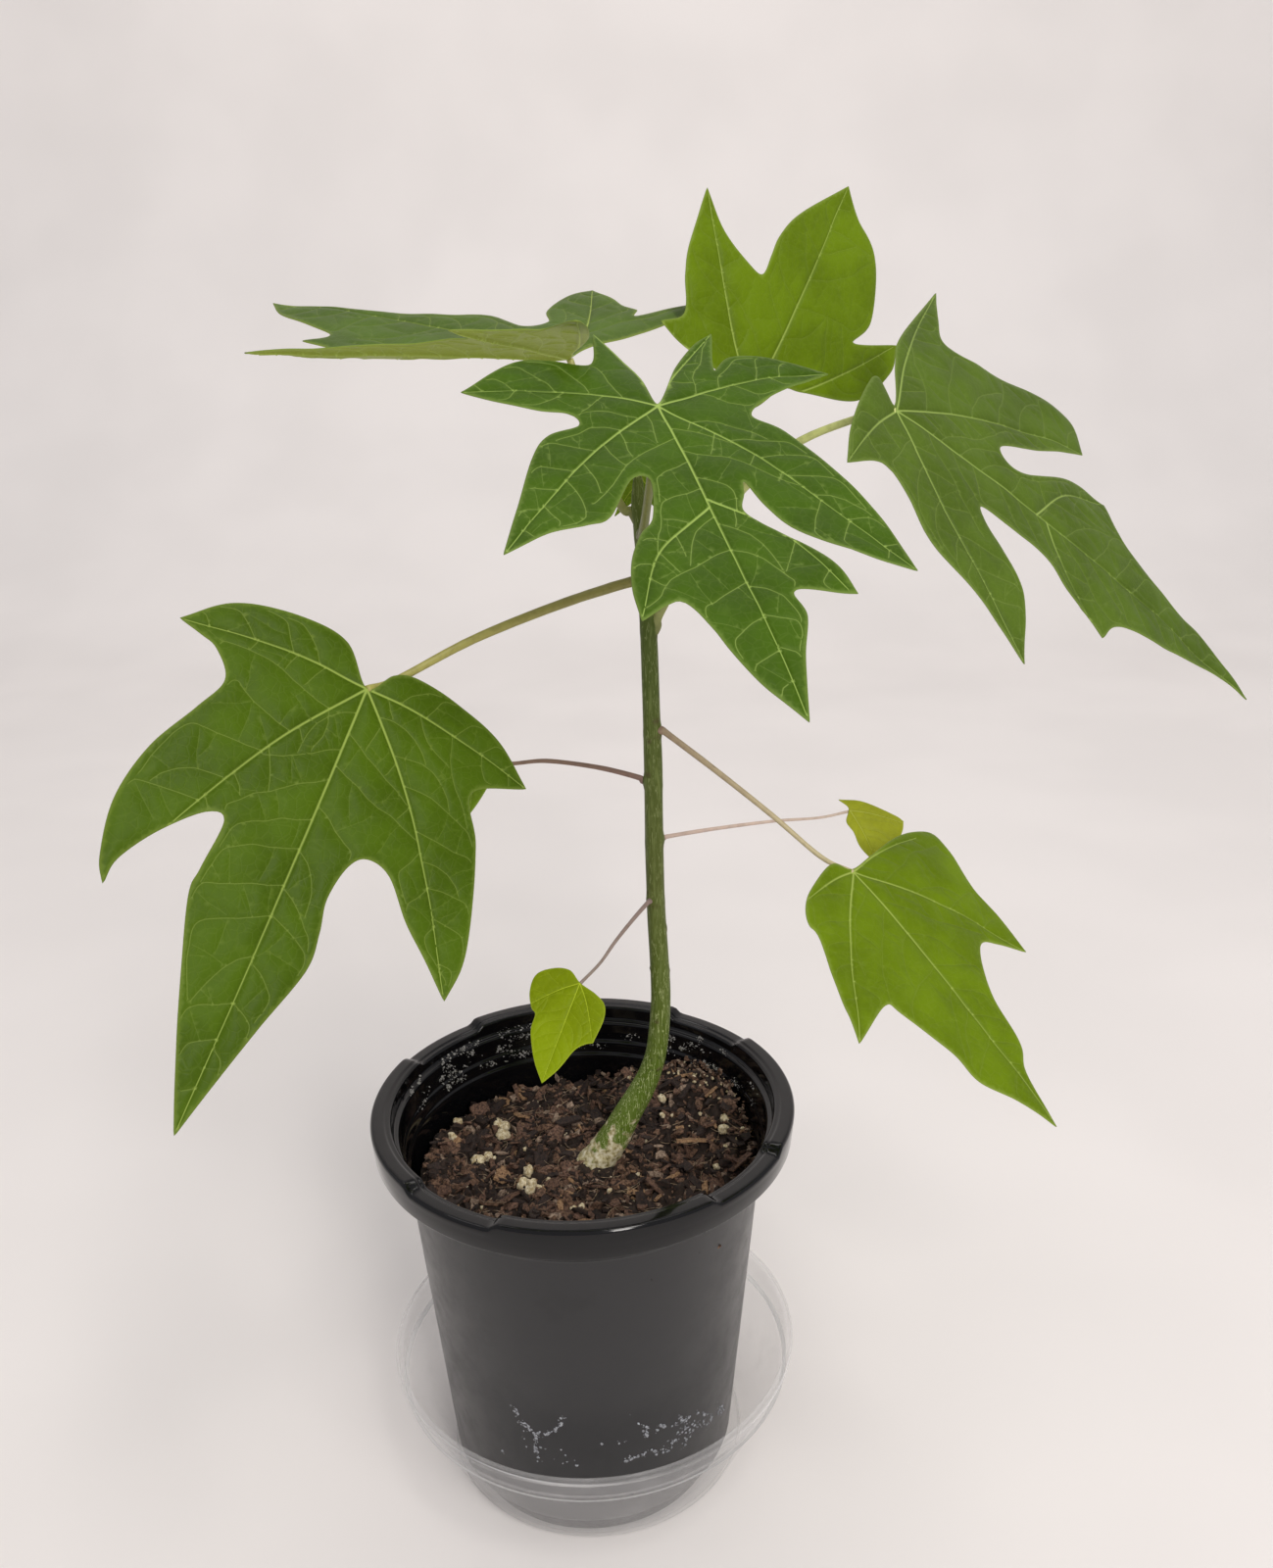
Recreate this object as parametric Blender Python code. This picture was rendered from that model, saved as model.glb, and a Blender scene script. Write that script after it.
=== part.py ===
"""Potted papaya seedling: pot, deep clear saucer, soil, leaning stem and ten long-stalked palmate leaves.

Lengths in metres, +Z up. The origin is on the pot's axis at the flat underside of the saucer,
and -Y is the front. Every leaf is one cut blade on one tapering stalk.
"""
import math

import bmesh
import bpy
from mathutils import Matrix, Vector
from mathutils.geometry import delaunay_2d_cdt

MM = 0.001
CLEAR = 0.0003

# saucer: deep clear vinyl dish, set a little to the back of the pot
SAUCER_X = 0.0015
SAUCER_Y = 0.0065
SAUCER_BASE_R = 0.0602
SAUCER_STEP_R = 0.0790
SAUCER_STEP_Z = 0.0385
SAUCER_RIM_R = 0.0830
SAUCER_HEIGHT = 0.0505
SAUCER_SHEET = 0.0012
SAUCER_SIDES = 48

# pot: 165 mm across the rim and 165 mm high
POT_SEAT_Z = SAUCER_SHEET + CLEAR
POT_FOOT_R = 0.0518
POT_FOOT_STEP = 0.0095
POT_BASE_R = 0.0580
POT_NECK_R = 0.0697
POT_NECK_Z = 0.1430
POT_RIM_R = 0.0825
POT_RIM_INNER_R = 0.0745
POT_TOP_Z = 0.1655
POT_BAND = 0.0120
POT_WALL = 0.0013
POT_SIDES = 60
NOTCH_CENTRES_DEG = (47.0, 142.0, 236.0, 320.0)
NOTCH_HALF_DEG = 14.0
NOTCH_DEPTH = 0.0018

# soil: filled to about 35 mm below the rim, banked up at the back right and left
SOIL_LEVEL = 0.1315
SOIL_BANK_RIGHT = 0.0150
SOIL_BANK_LEFT = 0.0060
SOIL_RINGS = 7
SOIL_SIDES = 40

# stem: flat cut at soil level, swept over to the right, then upright
STEM_SIDES = 20
STEM_PATH = (
    # x mm, y mm, z mm, diameter mm
    (5.6, 8.0, 131.9, 14.0),
    (12.2, 8.0, 142.6, 12.4),
    (17.6, 8.0, 153.0, 10.8),
    (23.2, 8.0, 163.4, 9.8),
    (27.2, 8.0, 173.0, 8.8),
    (29.8, 8.0, 184.0, 8.1),
    (31.3, 8.0, 203.0, 7.7),
    (30.9, 8.0, 222.0, 7.3),
    (30.0, 8.0, 243.0, 6.9),
    (29.7, 8.0, 272.0, 6.9),
    (29.7, 8.0, 300.0, 6.7),
    (29.3, 8.0, 324.0, 6.3),
    (28.9, 8.0, 346.0, 6.0),
    (27.6, 8.0, 372.0, 5.4),
    (26.2, 8.0, 392.0, 4.8),
    (26.0, 8.0, 401.0, 3.4),
    (26.0, 8.0, 404.0, 1.4),
)

# outline stations of a blade, counter-clockwise or clockwise about its hub:
# kind (tip = pointed, bay = sinus, edge = smooth margin), bearing in degrees from the midrib, reach in mm
TIP = "tip"
BAY = "bay"
EDGE = "edge"

FRONT_OUTLINE = (
    (BAY, 156, 1), (EDGE, 149, 25), (EDGE, 146, 40), (TIP, 142, 50), (BAY, 127, 30), (EDGE, 127, 39),
    (EDGE, 116, 51), (TIP, 105, 65), (EDGE, 98, 43), (BAY, 78, 28), (EDGE, 65, 38), (EDGE, 50, 56),
    (EDGE, 42, 72), (TIP, 33, 92), (EDGE, 29, 80), (EDGE, 25, 69), (EDGE, 21, 56), (BAY, 17, 40),
    (EDGE, 12, 49), (EDGE, 20, 54), (EDGE, 23, 63), (EDGE, 23, 76), (TIP, 20, 87), (BAY, 8, 82),
    (EDGE, 7, 92), (EDGE, 3, 105), (TIP, 0, 123), (EDGE, -4, 111), (EDGE, -7, 100), (EDGE, -9, 93),
    (BAY, -13, 85), (EDGE, -16, 86), (TIP, -20, 92), (EDGE, -22, 82), (EDGE, -23, 72), (EDGE, -22, 61),
    (EDGE, -19, 52), (BAY, -21, 37), (EDGE, -29, 39), (EDGE, -31, 56), (EDGE, -35, 62), (EDGE, -42, 71),
    (TIP, -46, 83), (EDGE, -52, 66), (EDGE, -64, 48), (EDGE, -72, 38), (BAY, -74, 27), (BAY, -87, 28),
    (EDGE, -92, 36), (EDGE, -99, 46), (TIP, -106, 57), (EDGE, -127, 45), (EDGE, -137, 38), (BAY, -151, 28),
    (TIP, -170, 43), (EDGE, -173, 27), (EDGE, -176, 15),
)
LEFT_OUTLINE = (
    (BAY, 57, 0), (EDGE, 142, 10), (EDGE, 129, 17), (EDGE, 110, 29), (EDGE, 96, 44), (TIP, 84, 59),
    (BAY, 69, 45), (EDGE, 58, 58), (EDGE, 46, 78), (EDGE, 41, 89), (TIP, 36, 97), (EDGE, 34, 84),
    (EDGE, 31, 72), (EDGE, 28, 58), (BAY, 21, 53), (BAY, 15, 56), (EDGE, 11, 66), (EDGE, 11, 76),
    (EDGE, 10, 87), (EDGE, 5, 105), (EDGE, 2, 122), (TIP, 0, 138), (EDGE, -3, 123), (EDGE, -8, 104),
    (EDGE, -16, 82), (EDGE, -18, 74), (BAY, -22, 60), (BAY, -27, 62), (EDGE, -30, 75), (EDGE, -30, 88),
    (TIP, -28, 95), (EDGE, -32, 91), (EDGE, -40, 80), (EDGE, -48, 66), (EDGE, -56, 51), (BAY, -66, 42),
    (EDGE, -79, 45), (EDGE, -83, 50), (TIP, -86, 57), (EDGE, -99, 46), (EDGE, -114, 30), (EDGE, -136, 16),
)
RIGHT_OUTLINE = (
    (BAY, 128, 2), (EDGE, 100, 24), (EDGE, 96, 40), (TIP, 85, 87), (EDGE, 82, 68), (BAY, 75, 57),
    (EDGE, 60, 70), (EDGE, 51, 88), (EDGE, 43, 102), (TIP, 35, 100), (EDGE, 31, 70), (BAY, 25, 46),
    (EDGE, 15, 53), (EDGE, 24, 83), (TIP, 22, 101), (EDGE, 12, 107), (EDGE, 5, 131), (EDGE, 4, 147),
    (TIP, 0, 172), (EDGE, -1, 149), (EDGE, -7, 121), (EDGE, -13, 103), (TIP, -19, 100), (EDGE, -18, 93),
    (EDGE, -18, 79), (EDGE, -16, 65), (BAY, -25, 41), (EDGE, -33, 56), (EDGE, -38, 73), (TIP, -47, 93),
    (EDGE, -52, 73), (EDGE, -64, 56), (EDGE, -75, 39), (EDGE, -87, 31), (BAY, -97, 31), (TIP, -108, 41),
    (EDGE, -124, 26), (EDGE, -178, 13), (EDGE, 138, 13),
)
BACK_OUTLINE = (
    (BAY, 180, 2), (EDGE, 86, 14), (EDGE, 89, 33), (TIP, 87, 45), (EDGE, 75, 40), (EDGE, 64, 50),
    (EDGE, 56, 59), (TIP, 43, 75), (EDGE, 40, 60), (EDGE, 32, 49), (BAY, 24, 46), (EDGE, 20, 54),
    (EDGE, 17, 63), (EDGE, 11, 75), (TIP, 0, 99), (EDGE, -6, 92), (EDGE, -15, 87), (EDGE, -28, 69),
    (BAY, -31, 56), (TIP, -38, 79), (EDGE, -45, 72), (EDGE, -53, 52), (EDGE, -45, 25), (EDGE, -35, 16),
)
UPPER_OUTLINE = (
    (BAY, 180, 1), (EDGE, 104, 30), (EDGE, 95, 56), (EDGE, 83, 43), (EDGE, 73, 47), (TIP, 55, 59),
    (BAY, 50, 46), (EDGE, 30, 52), (EDGE, 19, 74), (TIP, 11, 105), (EDGE, 2, 88), (BAY, -6, 82),
    (TIP, -10, 94), (EDGE, -16, 88), (EDGE, -23, 114), (TIP, -28, 127), (EDGE, -31, 94), (EDGE, -42, 63),
    (EDGE, -53, 50), (BAY, -58, 34), (EDGE, -75, 33), (EDGE, -78, 45), (EDGE, -88, 58), (TIP, -96, 64),
    (EDGE, -105, 54), (EDGE, -112, 48), (TIP, -120, 46), (BAY, -123, 41), (EDGE, -129, 53), (TIP, -136, 73),
    (EDGE, -138, 46), (EDGE, -140, 23),
)
LOWER_OUTLINE = (
    (BAY, 180, 1), (EDGE, 103, 15), (EDGE, 101, 33), (EDGE, 98, 46), (EDGE, 93, 54), (EDGE, 82, 53),
    (EDGE, 64, 54), (EDGE, 53, 62), (TIP, 43, 71), (EDGE, 40, 59), (BAY, 32, 51), (EDGE, 13, 61),
    (EDGE, 7, 78), (EDGE, 2, 86), (TIP, 0, 104), (EDGE, -5, 92), (EDGE, -12, 82), (EDGE, -16, 71),
    (EDGE, -29, 58), (BAY, -35, 56), (TIP, -44, 72), (EDGE, -47, 65), (EDGE, -51, 58), (EDGE, -64, 40),
    (EDGE, -73, 37), (EDGE, -81, 31), (EDGE, -91, 22), (EDGE, -126, 9),
)
LOW_OUTLINE = (
    (BAY, 180, 0), (EDGE, 73, 7), (EDGE, 67, 12), (EDGE, 52, 16), (TIP, 33, 22), (EDGE, 25, 22),
    (EDGE, 16, 24), (EDGE, 7, 31), (TIP, 0, 37), (EDGE, -10, 31), (EDGE, -25, 24), (EDGE, -35, 19),
    (EDGE, -44, 19), (EDGE, -62, 18), (EDGE, -82, 16), (EDGE, -100, 11), (EDGE, -121, 6),
)
SMALL_OUTLINE = (
    (BAY, 180, 1), (TIP, -157, 6), (EDGE, 104, 7), (EDGE, 68, 18), (TIP, 62, 22), (EDGE, 51, 22),
    (EDGE, 31, 22), (TIP, 4, 24), (EDGE, -8, 15), (EDGE, -14, 9), (EDGE, -40, 5),
)
HIDDEN_OUTLINE = (
    (BAY, 180, 1), (EDGE, 120, 9), (EDGE, 92, 17), (EDGE, 66, 22), (TIP, 47, 30), (BAY, 30, 26),
    (EDGE, 14, 33), (TIP, 0, 50), (EDGE, -14, 33), (BAY, -30, 26), (TIP, -47, 30), (EDGE, -66, 22),
    (EDGE, -92, 17), (EDGE, -120, 9),
)
YOUNG_OUTLINE = (
    (BAY, 180, 1), (EDGE, 70, 5), (TIP, 36, 16), (EDGE, 22, 9), (BAY, 0, 7), (EDGE, -20, 9),
    (TIP, -30, 15), (TIP, -46, 14), (EDGE, -60, 8),
)

# leaves: name, hub mm, face normal, midrib aim, droop in mm at 100 mm reach, fold, thickness mm,
# stalk height on the stem in mm, stalk diameters mm at stem and blade, bow of the stalk mm, outline, colour
LEAVES = (
    ("front", (32, -50, 429), (0.15, -0.48, 0.87), (0.28, -0.82, -0.50), 5.0, 0.0, 1.5,
     384.0, (3.2, 2.2), (0, 0, -3), FRONT_OUTLINE, (0.045, 0.125, 0.020)),
    ("left", (-58, -60, 348), (0.48, -0.70, 0.53), (-0.27, -0.69, -0.67), 8.0, 0.0, 1.6,
     367.0, (3.6, 2.4), (0, 0, 3), LEFT_OUTLINE, (0.070, 0.150, 0.010)),
    ("right", (110, -10, 424), (0.50, -0.55, 0.67), (0.83, 0.08, -0.56), 5.0, 0.0, 1.9,
     351.0, (3.4, 2.4), (-6, 0, 8), RIGHT_OUTLINE, (0.045, 0.120, 0.018)),
    ("back", (68, 45, 424), (0.53, -0.83, 0.19), (0.44, 0.46, 0.78), 6.0, 0.0, 1.2,
     376.0, (3.2, 2.0), (0, 0, -3), BACK_OUTLINE, (0.090, 0.180, 0.020)),
    ("upper", (4, 15, 442), (0.0, -0.075, 1.0), (-1.0, 0.0, 0.0), 0.0, 0.275, 1.6,
     391.0, (3.0, 2.2), (-2, 0, -2), UPPER_OUTLINE, (0.050, 0.125, 0.030)),
    ("lower", (98, -30, 272), (0.40, -0.36, 0.84), (0.57, -0.62, -0.54), 8.0, 0.0, 1.3,
     313.0, (2.4, 1.7), (0, 0, 1), LOWER_OUTLINE, (0.105, 0.200, 0.020)),
    ("low", (2, -30, 231), (-0.10, -0.72, 0.68), (-0.36, -0.61, -0.70), 10.0, 0.0, 0.8,
     246.6, (1.7, 1.1), (0, 0, 1), LOW_OUTLINE, (0.160, 0.260, 0.020)),
    ("small", (106, 30, 272), (0.20, -0.72, 0.66), (0.34, -0.58, -0.74), 10.0, 0.0, 0.8,
     270.5, (1.6, 1.0), (0, 0, 1), SMALL_OUTLINE, (0.180, 0.270, 0.030)),
    ("hidden", (-38, 20, 301), (-0.30, -0.62, 0.72), (-0.28, -0.66, -0.69), 10.0, 0.0, 0.9,
     293.3, (2.0, 1.4), (0, 0, 3), HIDDEN_OUTLINE, (0.100, 0.190, 0.020)),
    ("young", (27.4, 17.5, 401), (-0.05, 1.00, 0.10), (-0.02, 0.08, -1.00), 6.0, 0.0, 0.6,
     397.0, (1.4, 0.9), (0, 0, 1), YOUNG_OUTLINE, (0.120, 0.170, 0.020)),
)

STALK_SIDES = 10
STUB_LENGTH = 0.0150
MARGIN_STEP = 5.0
INNER_STEP = 13.0


def clear_scene():
    for obj in list(bpy.data.objects):
        bpy.data.objects.remove(obj, do_unlink=True)


def material(name, colour, roughness, metallic=0.0, alpha=1.0):
    made = bpy.data.materials.new(name)
    made.use_nodes = True
    shader = made.node_tree.nodes["Principled BSDF"]
    shader.inputs["Base Color"].default_value = (colour[0], colour[1], colour[2], 1.0)
    shader.inputs["Roughness"].default_value = roughness
    shader.inputs["Metallic"].default_value = metallic
    shader.inputs["Alpha"].default_value = alpha
    return made


def add_node(name, bm, colour, roughness, place=None):
    """Turn a bmesh into a named object under the plant's empty, shaded smooth over gentle angles."""
    bmesh.ops.remove_doubles(bm, verts=bm.verts, dist=1e-6)
    bmesh.ops.recalc_face_normals(bm, faces=bm.faces)
    mesh = bpy.data.meshes.new(name)
    bm.to_mesh(mesh)
    bm.free()
    mesh.shade_smooth()
    mesh.set_sharp_from_angle(angle=math.radians(38.0))
    obj = bpy.data.objects.new(name, mesh)
    obj.data.materials.append(material("mat_" + name, colour, roughness))
    obj.parent = bpy.data.objects["papaya"]
    if place is not None:
        obj.matrix_world = place
    bpy.context.scene.collection.objects.link(obj)
    return obj


def smooth(t):
    t = min(max(t, 0.0), 1.0)
    return t * t * (3.0 - 2.0 * t)


def turned(profile, sides):
    """Closed body of revolution spun from (radius, z) pairs whose first and last lie on the axis."""
    bm = bmesh.new()
    line = [bm.verts.new((r, 0.0, z)) for r, z in profile]
    edges = [bm.edges.new(pair) for pair in zip(line, line[1:])]
    bmesh.ops.spin(bm, geom=line + edges, cent=(0.0, 0.0, 0.0), axis=(0.0, 0.0, 1.0),
                   angle=2.0 * math.pi, steps=sides, use_merge=True)
    bmesh.ops.remove_doubles(bm, verts=bm.verts, dist=1e-6)
    return bm


def make_saucer():
    s = SAUCER_SHEET
    profile = (
        (0.0, 0.0),
        (SAUCER_BASE_R, 0.0),
        (SAUCER_BASE_R + 0.0020, 0.0012),
        (SAUCER_STEP_R, SAUCER_STEP_Z),
        (SAUCER_STEP_R + 0.0016, SAUCER_STEP_Z + 0.0008),
        (SAUCER_RIM_R - 0.0022, SAUCER_HEIGHT - 0.0020),
        (SAUCER_RIM_R, SAUCER_HEIGHT - 0.0016),
        (SAUCER_RIM_R, SAUCER_HEIGHT),
        (SAUCER_RIM_R - 0.0034, SAUCER_HEIGHT),
        (SAUCER_STEP_R + 0.0002, SAUCER_STEP_Z + 0.0022),
        (SAUCER_STEP_R - 0.0014, SAUCER_STEP_Z + 0.0012),
        (SAUCER_BASE_R + 0.0006, s + 0.0008),
        (SAUCER_BASE_R - 0.0010, s),
        (0.0, s),
    )
    bm = turned(profile, SAUCER_SIDES)
    return add_node("saucer", bm, (0.80, 0.80, 0.78), 0.12, Matrix.Translation((SAUCER_X, SAUCER_Y, 0.0)))


def notch_lift(co):
    """Four shallow sunk segments in the flat of the rim."""
    if co.z < POT_TOP_Z - 0.0022:
        return 0.0
    deg = math.degrees(math.atan2(co.y, co.x))
    away = min(abs((deg - c + 180.0) % 360.0 - 180.0) for c in NOTCH_CENTRES_DEG)
    return -NOTCH_DEPTH * smooth((NOTCH_HALF_DEG + 1.0 - away) / 4.0)


def make_pot():
    top = POT_TOP_Z
    lip = POT_TOP_Z - POT_BAND
    seat = POT_SEAT_Z
    wall = POT_WALL
    profile = (
        (0.0, seat),
        (POT_FOOT_R, seat),
        (POT_FOOT_R + 0.0012, seat + POT_FOOT_STEP),
        (POT_BASE_R, seat + POT_FOOT_STEP + 0.0020),
        (POT_NECK_R, POT_NECK_Z),
        (POT_NECK_R + 0.0024, POT_NECK_Z + 0.0060),
        (POT_NECK_R + 0.0030, POT_NECK_Z + 0.0125),
        (POT_RIM_INNER_R + 0.0012, top - 0.0060),
        (POT_RIM_INNER_R + 0.0016, top - 0.0018),
        (POT_RIM_R - 0.0016, top - 0.0018),
        (POT_RIM_R - 0.0024, lip),
        (POT_RIM_R - 0.0009, lip),
        (POT_RIM_R, top - 0.0008),
        (POT_RIM_R - 0.0008, top),
        (POT_RIM_INNER_R + 0.0006, top),
        (POT_RIM_INNER_R, top - 0.0007),
        (POT_RIM_INNER_R - 0.0002, top - 0.0062),
        (POT_RIM_INNER_R - 0.0022, top - 0.0068),
        (POT_NECK_R + 0.0016, POT_NECK_Z + 0.0105),
        (POT_NECK_R + 0.0010, POT_NECK_Z + 0.0066),
        (POT_NECK_R - 0.0013, POT_NECK_Z + 0.0010),
        (POT_BASE_R - wall, seat + POT_FOOT_STEP + 0.0036),
        (POT_FOOT_R - 0.0004, seat + POT_FOOT_STEP + 0.0014),
        (POT_FOOT_R - 0.0014, seat + 0.0022),
        (0.0, seat + 0.0022),
    )
    bm = turned(profile, POT_SIDES)
    for v in bm.verts:
        v.co.z += notch_lift(v.co)
    return add_node("pot", bm, (0.035, 0.034, 0.037), 0.45)


def inner_radius(z):
    """Radius of the pot's inner wall at a height between the base step and the neck."""
    low = POT_SEAT_Z + POT_FOOT_STEP + 0.0036
    t = (z - low) / (POT_NECK_Z + 0.0010 - low)
    return (POT_BASE_R - POT_WALL) * (1.0 - t) + (POT_NECK_R - 0.0013) * t


def soil_height(x, y):
    """Top of the soil, banked against the wall at the back right and at the left."""
    r = math.hypot(x, y)
    a = math.degrees(math.atan2(y, x))
    rise = smooth((r - 0.030) / 0.036)
    right = math.exp(-(((a - 38.0 + 180.0) % 360.0 - 180.0) / 34.0) ** 2)
    left = math.exp(-(((a - 172.0 + 180.0) % 360.0 - 180.0) / 30.0) ** 2)
    lumps = 0.0010 * math.sin(x * 300.0 + 0.5) * math.cos(y * 260.0)
    near = smooth((math.hypot(x - 0.0056, y - 0.008) - 0.009) / 0.010)
    return SOIL_LEVEL + near * (rise * (SOIL_BANK_RIGHT * right + SOIL_BANK_LEFT * left) + lumps * rise)


def make_soil():
    bm = bmesh.new()
    sides = SOIL_SIDES
    floor_z = POT_SEAT_Z + 0.0022 + CLEAR
    step_z = POT_SEAT_Z + POT_FOOT_STEP + 0.0055
    bottom = bm.verts.new((0.0, 0.0, floor_z))
    rings = []
    for r, z in ((POT_FOOT_R - 0.0026, floor_z), (POT_FOOT_R - 0.0016, step_z - 0.0042),
                 (inner_radius(step_z) - 3.0 * CLEAR, step_z)):
        rings.append([bm.verts.new((r * math.cos(2.0 * math.pi * i / sides),
                                    r * math.sin(2.0 * math.pi * i / sides), z)) for i in range(sides)])
    top_r = []
    for i in range(sides):
        a = 2.0 * math.pi * i / sides
        rim = 0.0665
        for _ in range(3):
            rim = inner_radius(min(soil_height(rim * math.cos(a), rim * math.sin(a)), 0.1435)) - 3.0 * CLEAR
        top_r.append(rim)
    for k in range(SOIL_RINGS, 0, -1):
        ring = []
        for i in range(sides):
            a = 2.0 * math.pi * i / sides
            r = top_r[i] * k / SOIL_RINGS
            x = r * math.cos(a)
            y = r * math.sin(a)
            ring.append(bm.verts.new((x, y, soil_height(x, y))))
        rings.append(ring)
    centre = bm.verts.new((0.0, 0.0, soil_height(0.0, 0.0)))
    for i in range(sides):
        j = (i + 1) % sides
        bm.faces.new((bottom, rings[0][j], rings[0][i]))
        for low, high in zip(rings, rings[1:]):
            bm.faces.new((low[i], low[j], high[j], high[i]))
        bm.faces.new((rings[-1][i], rings[-1][j], centre))
    return add_node("soil", bm, (0.055, 0.035, 0.025), 0.95)


def spline(points, steps):
    """Catmull-Rom curve through points of any dimension, with the given number of steps a span."""
    ext = [[2.0 * a - b for a, b in zip(points[0], points[1])]] + [list(p) for p in points]
    ext.append([2.0 * a - b for a, b in zip(points[-1], points[-2])])
    out = []
    for k in range(1, len(ext) - 2):
        p0, p1, p2, p3 = ext[k - 1:k + 3]
        n = steps if isinstance(steps, int) else max(1, steps[k - 1])
        for s in range(n):
            t = s / n
            out.append([0.5 * (2.0 * b + (c - a) * t + (2.0 * a - 5.0 * b + 4.0 * c - d) * t * t
                               + (3.0 * b - a - 3.0 * c + d) * t * t * t)
                        for a, b, c, d in zip(p0, p1, p2, p3)])
    out.append(list(ext[-2]))
    return out


def limb(path, sides, flat_first=False):
    """Tapering round limb along (x, y, z, radius) stations, with flat ends."""
    bm = bmesh.new()
    rings = []
    side = Vector((0.0, 1.0, 0.0))
    for k, station in enumerate(path):
        here = Vector(station[:3])
        before = Vector(path[max(k - 1, 0)][:3])
        after = Vector(path[min(k + 1, len(path) - 1)][:3])
        along = (after - before).normalized()
        if flat_first and k == 0:
            along = Vector((0.0, 0.0, 1.0))
        if abs(along.dot(side)) > 0.95:
            side = Vector((1.0, 0.0, 0.0))
        out = (side - along * side.dot(along)).normalized()
        side = out
        other = along.cross(out)
        ring = []
        for i in range(sides):
            a = 2.0 * math.pi * i / sides
            ring.append(bm.verts.new(here + (out * math.cos(a) + other * math.sin(a)) * station[3]))
        rings.append(ring)
    for low, high in zip(rings, rings[1:]):
        for i in range(sides):
            j = (i + 1) % sides
            bm.faces.new((low[i], low[j], high[j], high[i]))
    bm.faces.new(list(reversed(rings[0])))
    bm.faces.new(rings[-1])
    return bm


def stem_station(z_mm):
    """Centre and radius of the stem at a height."""
    for low, high in zip(STEM_PATH, STEM_PATH[1:]):
        if low[2] <= z_mm <= high[2]:
            t = (z_mm - low[2]) / (high[2] - low[2])
            mix = [a * (1.0 - t) + b * t for a, b in zip(low, high)]
            return Vector((mix[0] * MM, mix[1] * MM, z_mm * MM)), mix[3] * MM / 2.0
    raise ValueError("height off the stem")


def make_stem():
    stations = [(x * MM, y * MM, z * MM, d * MM / 2.0) for x, y, z, d in STEM_PATH]
    return add_node("stem", limb(spline(stations, 2), STEM_SIDES, True), (0.120, 0.160, 0.045), 0.55)


def blade_frame(face, aim):
    normal = Vector(face).normalized()
    along = Vector(aim)
    along = (along - normal * along.dot(normal)).normalized()
    return normal, along, normal.cross(along)


def margin(outline):
    """Outline in the blade's own plane, in mm: curves between the pointed tips."""
    flat = [(kind, reach * math.cos(math.radians(b)), reach * math.sin(math.radians(b)))
            for kind, b, reach in outline]
    first = next(i for i, p in enumerate(flat) if p[0] == TIP)
    flat = flat[first:] + flat[:first + 1]
    points = []
    run = [flat[0][1:]]
    for kind, x, y in flat[1:]:
        run.append((x, y))
        if kind == TIP:
            steps = [max(1, round(math.dist(a, b) / MARGIN_STEP)) for a, b in zip(run, run[1:])]
            steps = [min(s, 4) for s in steps]
            points.extend(spline(run, steps)[:-1])
            run = [(x, y)]
    return points


def inside(x, y, polygon):
    hit = False
    for (ax, ay), (bx, by) in zip(polygon, polygon[1:] + polygon[:1]):
        if (ay > y) != (by > y) and x < (bx - ax) * (y - ay) / (by - ay) + ax:
            hit = not hit
    return hit


def edge_distance(x, y, polygon):
    best = 1e9
    for (ax, ay), (bx, by) in zip(polygon, polygon[1:] + polygon[:1]):
        dx = bx - ax
        dy = by - ay
        t = min(max(((x - ax) * dx + (y - ay) * dy) / max(dx * dx + dy * dy, 1e-9), 0.0), 1.0)
        best = min(best, math.hypot(x - ax - t * dx, y - ay - t * dy))
    return best


def blade_height(x, y, droop, fold):
    """Height of the blade over its own plane at x, y mm: drooping with reach and folded up at the midrib."""
    return fold * (math.hypot(y, 2.0) - 2.0) - droop * (x * x + y * y) / 10000.0


def make_blade(leaf):
    name, hub, face, aim, droop, fold, thick = leaf[:7]
    outline, colour = leaf[10:12]
    normal, along, side = blade_frame(face, aim)
    edge = margin(outline)
    size = max(math.hypot(x, y) for x, y in edge)
    step = INNER_STEP if size > 60.0 else size / 4.0
    flat = [Vector(p) for p in edge]
    count = int(2.0 * size / step) + 2
    for row in range(-count, count + 1):
        for col in range(-count, count + 1):
            x = (col + 0.5 * (row % 2)) * step
            y = row * step * 0.866
            if inside(x, y, edge) and edge_distance(x, y, edge) > 0.35 * step:
                flat.append(Vector((x, y)))
    verts, _, faces = delaunay_2d_cdt(flat, [], [list(range(len(edge)))], 1, 1e-5)[:3]
    bm = bmesh.new()
    sheet = [bm.verts.new(Vector((v.x, v.y, blade_height(v.x, v.y, droop, fold))) * MM) for v in verts]
    for f in faces:
        bm.faces.new([sheet[i] for i in f])
    bmesh.ops.delete(bm, geom=[v for v in bm.verts if not v.link_faces], context="VERTS")
    turn = Matrix((along, side, normal)).transposed().to_4x4()
    obj = add_node("blade_" + name, bm, colour, 0.45, Matrix.Translation(Vector(hub) * MM) @ turn)
    solid = obj.modifiers.new("thickness", "SOLIDIFY")
    solid.thickness = thick * MM
    solid.offset = 0.0
    return obj


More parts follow.
